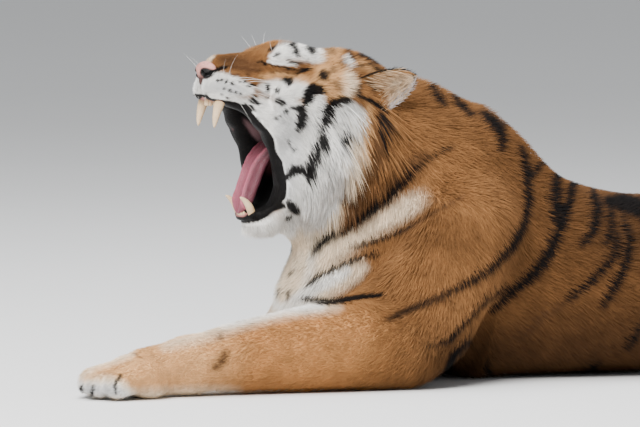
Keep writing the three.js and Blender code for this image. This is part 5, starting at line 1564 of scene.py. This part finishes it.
INCISORS, SMALL_RINGS = np.linspace(-0.42, 0.42, 6), 9      # places across the jaw
teeth = [((-728.5 + 36 * k * k, 42 * k, 499), (-731 + 36 * k * k, 41 * k, 487), 3.7) for k in INCISORS]
teeth += [((-666 + 20 * k * k, 32 * k, 293), (-671 + 20 * k * k, 31 * k, 302), 3.2) for k in INCISORS]
teeth += [((-684 + 17 * i, side * (38 + 4.5 * i), 500 - 9.5 * i),
           (-688 + 17 * i, side * (37 + 4.5 * i), 485 - 9.5 * i), 5.5)
          for i in range(3) for side in (-1, 1)]
small, small_tones = [], []
for gum, tip, radius in teeth:
    gum, tip = np.array(gum, float), np.array(tip, float)
    line = bent(gum - 0.5 * (tip - gum), 0.5 * (gum + tip), tip, SMALL_RINGS)
    radii = radius * np.minimum(1, np.sqrt((1 - np.linspace(0, 1, SMALL_RINGS)) * 2.2 + 0.01))
    small.append(tube(line, radii, 12, 0.8))
    small_tones.append(tooth_colours(small[-1][0], gum, tip))
piece("small_teeth", *joined(small), ivory, np.concatenate(small_tones), "tooth")

# ---- tongue ------------------------------------------------------------------
# A broad pink muscle arched from the throat to the front teeth, grooved down its middle,
# rough with small hooked papillae, darker at the back.
TONGUE_LINE = np.array([[-560, 0, 426], [-604, 0, 415], [-634, 0, 388], [-650, 0, 352],
                        [-662, 0, 320], [-672, 0, 298]], float)


def tongue_half(u):
    """Half the width, u from root to tip: 37 - 13 u^3."""
    return 37 - 13 * u ** 3


def tongue_rim(u):
    """How far from the middle the raised, wavy edge runs: a share of half the width."""
    return tongue_half(u) * (0.64 + 0.17 * np.sin(6.6 * u + 0.9))


def tongue_sheet(rows=72, columns=56):
    """Flattened rings round a smooth line, at y = w |cos a|^0.85 and h = t |sin a|^0.8, with a
    groove -g exp(-(y / 9)^2) on top and a rolled rim r exp(-((|y| - e) / 3.6)^2) along e."""
    u = np.linspace(0, 1, rows)
    knots = np.linspace(0, 1, len(TONGUE_LINE))
    line = np.stack([along(np.column_stack([knots, TONGUE_LINE]), u, i) for i in (1, 2, 3)], 1)
    run = rows_unit(np.gradient(line, axis=0))
    up = rows_unit(np.cross(np.tile([0.0, 1.0, 0.0], (rows, 1)), run))
    turn = np.linspace(0, 2 * np.pi, columns, endpoint=False)
    round_off = np.sqrt(np.minimum(1, (1 - u) * 5 + 0.02)) * np.sqrt(np.minimum(1, u * 20 + 0.02))
    wide = tongue_half(u) * round_off
    tall = 11 * round_off
    y = wide[:, None] * np.sign(np.cos(turn)) * np.abs(np.cos(turn)) ** 0.85
    h = tall[:, None] * np.sign(np.sin(turn)) * np.abs(np.sin(turn)) ** 0.8
    above = np.clip(np.sin(turn) * 3, 0, 1)
    rim = tongue_rim(u) * round_off
    h = h - above * 5.5 * np.exp(-(y / 9.0) ** 2) * round_off[:, None]
    roll = above * 5.0 * np.exp(-((np.abs(y) - rim[:, None]) / 3.6) ** 2)
    h = h + roll * (round_off * ramp(u, 0.1, 0.3))[:, None]
    points = line[:, None] + up[:, None] * h[..., None] + np.array([0, 1.0, 0]) * y[..., None]
    points = np.concatenate([points.reshape(-1, 3), line[:1], line[-1:]])
    return points, stitched(points, rows, columns), np.concatenate([np.repeat(u, columns), [0, 1]])


tongue_points, tongue_faces, tongue_u = tongue_sheet()
PINK, DEEP_PINK = np.array([0.26, 0.072, 0.102]), np.array([0.12, 0.03, 0.04])
tongue_tone = DEEP_PINK + ramp(tongue_u, 0.1, 0.6)[:, None] * (PINK - DEEP_PINK)
# Along the rolled rim a painted highlight; beyond it darker, partly the tongue's darker underside, partly
# painted shade.
off_rim = np.abs(tongue_points[:, 1]) - tongue_rim(tongue_u)
tongue_tone *= (1 - 0.55 * ramp(off_rim, 1, 6) + 0.9 * np.exp(-(off_rim / 2.0) ** 2))[:, None]
# Darker along the middle groove: painted shade.
tongue_tone *= (1 - 0.2 * np.exp(-(tongue_points[:, 1] / 6.0) ** 2))[:, None]
tongue_finish = finish("tongue", 0.45, coloured("coat", 70.0, 0.85, 1.15), pebbled(480.0, 0.0008),
                       Specular_IOR_Level=0.35, Subsurface_Weight=0.1,
                       Subsurface_Radius=(0.006, 0.002, 0.001))
piece("tongue_muscle", tongue_points, tongue_faces, tongue_finish, tongue_tone, "tongue", ["tongue"])

# ---- whiskers ----------------------------------------------------------------
# Stiff white bristles from the whisker pads, a few over each eye: tapering, bent tubes.
WHISKER_RADIUS, WHISKER_RINGS = 0.3, 9
whiskers = []
draw = np.random.default_rng(3)
for side in (-1, 1):
    bristles = []
    for row in range(4):
        for i in range(4):
            place = [-712 + 13 * i + 4 * row, side * (42 + 3 * i), 538 - 10 * row - 3 * i]
            heading = np.array([0.35 + 0.14 * i, side * 0.8, -0.2 - 0.15 * row])
            bristles.append((place, heading, draw.uniform(60, 115)))
    for i in range(2):
        bristles.append(([-716 + 8 * i, side * 40, 534], np.array([-0.2, side * 0.75, 0.6]),
                         draw.uniform(60, 80)))
    for i in range(3):
        bristles.append(([-628 + 12 * i, side * 46, 588], np.array([-0.25 + 0.2 * i, side * 0.5, 0.6]),
                         draw.uniform(26, 38)))
    for place, heading, length in bristles:
        heading = heading / np.sqrt((heading ** 2).sum()) + draw.normal(0, 0.08, 3)
        seat = drawn(hide, np.array([place], float), 60.0)[0]
        tip = seat + heading * length
        middle = 0.5 * (seat + tip) + np.array([-0.03, 0, 0.07]) * length
        radii = WHISKER_RADIUS * (1 - np.linspace(0, 0.9, WHISKER_RINGS))
        whiskers.append(tube(bent(seat - 3 * heading, middle, tip, WHISKER_RINGS), radii, 4))
BRISTLE = [0.8, 0.78, 0.74]
bristle = finish("bristle", 0.4, coloured("coat", 40.0, 0.95, 1.05), Specular_IOR_Level=0.5)
whisker_points, whisker_faces = joined(whiskers)
piece("whiskers", whisker_points, whisker_faces, bristle, np.tile(BRISTLE, (len(whisker_points), 1)),
      "pale_coat")

# ---- floor, light and camera -------------------------------------------------
# A pale flat floor wide enough to fill every view, three soft lamps, a long lens on the left.
disc = bpy.data.meshes.new("floor")
FLOOR_RADIUS, FLOOR_SIDES = 60.0, 96
turn = np.linspace(0, 2 * np.pi, FLOOR_SIDES, endpoint=False)
disc.from_pydata([(FLOOR_RADIUS * np.cos(t), FLOOR_RADIUS * np.sin(t), 0.0) for t in turn], [],
                 [list(range(FLOOR_SIDES))])
floor = bpy.data.objects.new("floor", disc)
bpy.context.scene.collection.objects.link(floor)


def floor_paint(tree):
    """Pale grey, paler with the distance from the middle so that no line shows far off."""
    away = node(tree, "ShaderNodeVectorMath", {"operation": "LENGTH"}, {0: object_place(tree)}, "Value")
    level = noise(tree, 0.7) * 0.03 + 0.72
    level = node(tree, "ShaderNodeMath", {"operation": "MINIMUM"}, {0: level + away * 0.018, 1: 0.97})
    return node(tree, "ShaderNodeCombineColor", None, {0: level, 1: level, 2: level})


disc.materials.append(finish("floor paint", 0.9, floor_paint))

target = (DRAWING_MIDDLE - MIDDLE) / 1000


def lamp(name, place, size, power, tint):
    """A square soft lamp that looks at the head and stays out of the camera's view."""
    data = bpy.data.lights.new(name, "AREA")
    data.energy, data.size, data.color = power, size, tint
    made = bpy.data.objects.new(name, data)
    made.location = place
    x, y, z = np.array(place) - target
    made.rotation_euler = (np.arctan2(np.hypot(x, y), z), 0, np.arctan2(y, x) + np.pi / 2)
    made.visible_camera = False
    bpy.context.scene.collection.objects.link(made)


lamp("key", (-3.6, -3.2, 4.4), 3.0, 720, (1.0, 0.985, 0.96))
lamp("sky", (-0.4, 0.4, 5.4), 5.0, 440, (0.96, 0.98, 1.0))
lamp("fill", (3.6, -4.2, 2.2), 4.0, 30, (0.97, 0.98, 1.0))
world = bpy.data.worlds.new("studio")
world.use_nodes = True
world.node_tree.nodes["Background"].inputs["Color"].default_value = (0.84, 0.86, 0.88, 1)
world.node_tree.nodes["Background"].inputs["Strength"].default_value = 0.52
bpy.context.scene.world = world

SENSOR_WIDTH = 36.0
lens = bpy.data.cameras.new("camera")
lens.sensor_width = SENSOR_WIDTH
lens.lens = DRAWING_SCALE / DRAWING_WIDTH * SENSOR_WIDTH
lens.clip_end = 400
camera = bpy.data.objects.new("camera", lens)
camera.location = target + TO_EYE * DRAWING_FAR / 1000
camera.rotation_euler = (np.pi / 2 - DRAWING_RISE, 0, DRAWING_TURN)
bpy.context.scene.collection.objects.link(camera)
bpy.context.scene.camera = camera
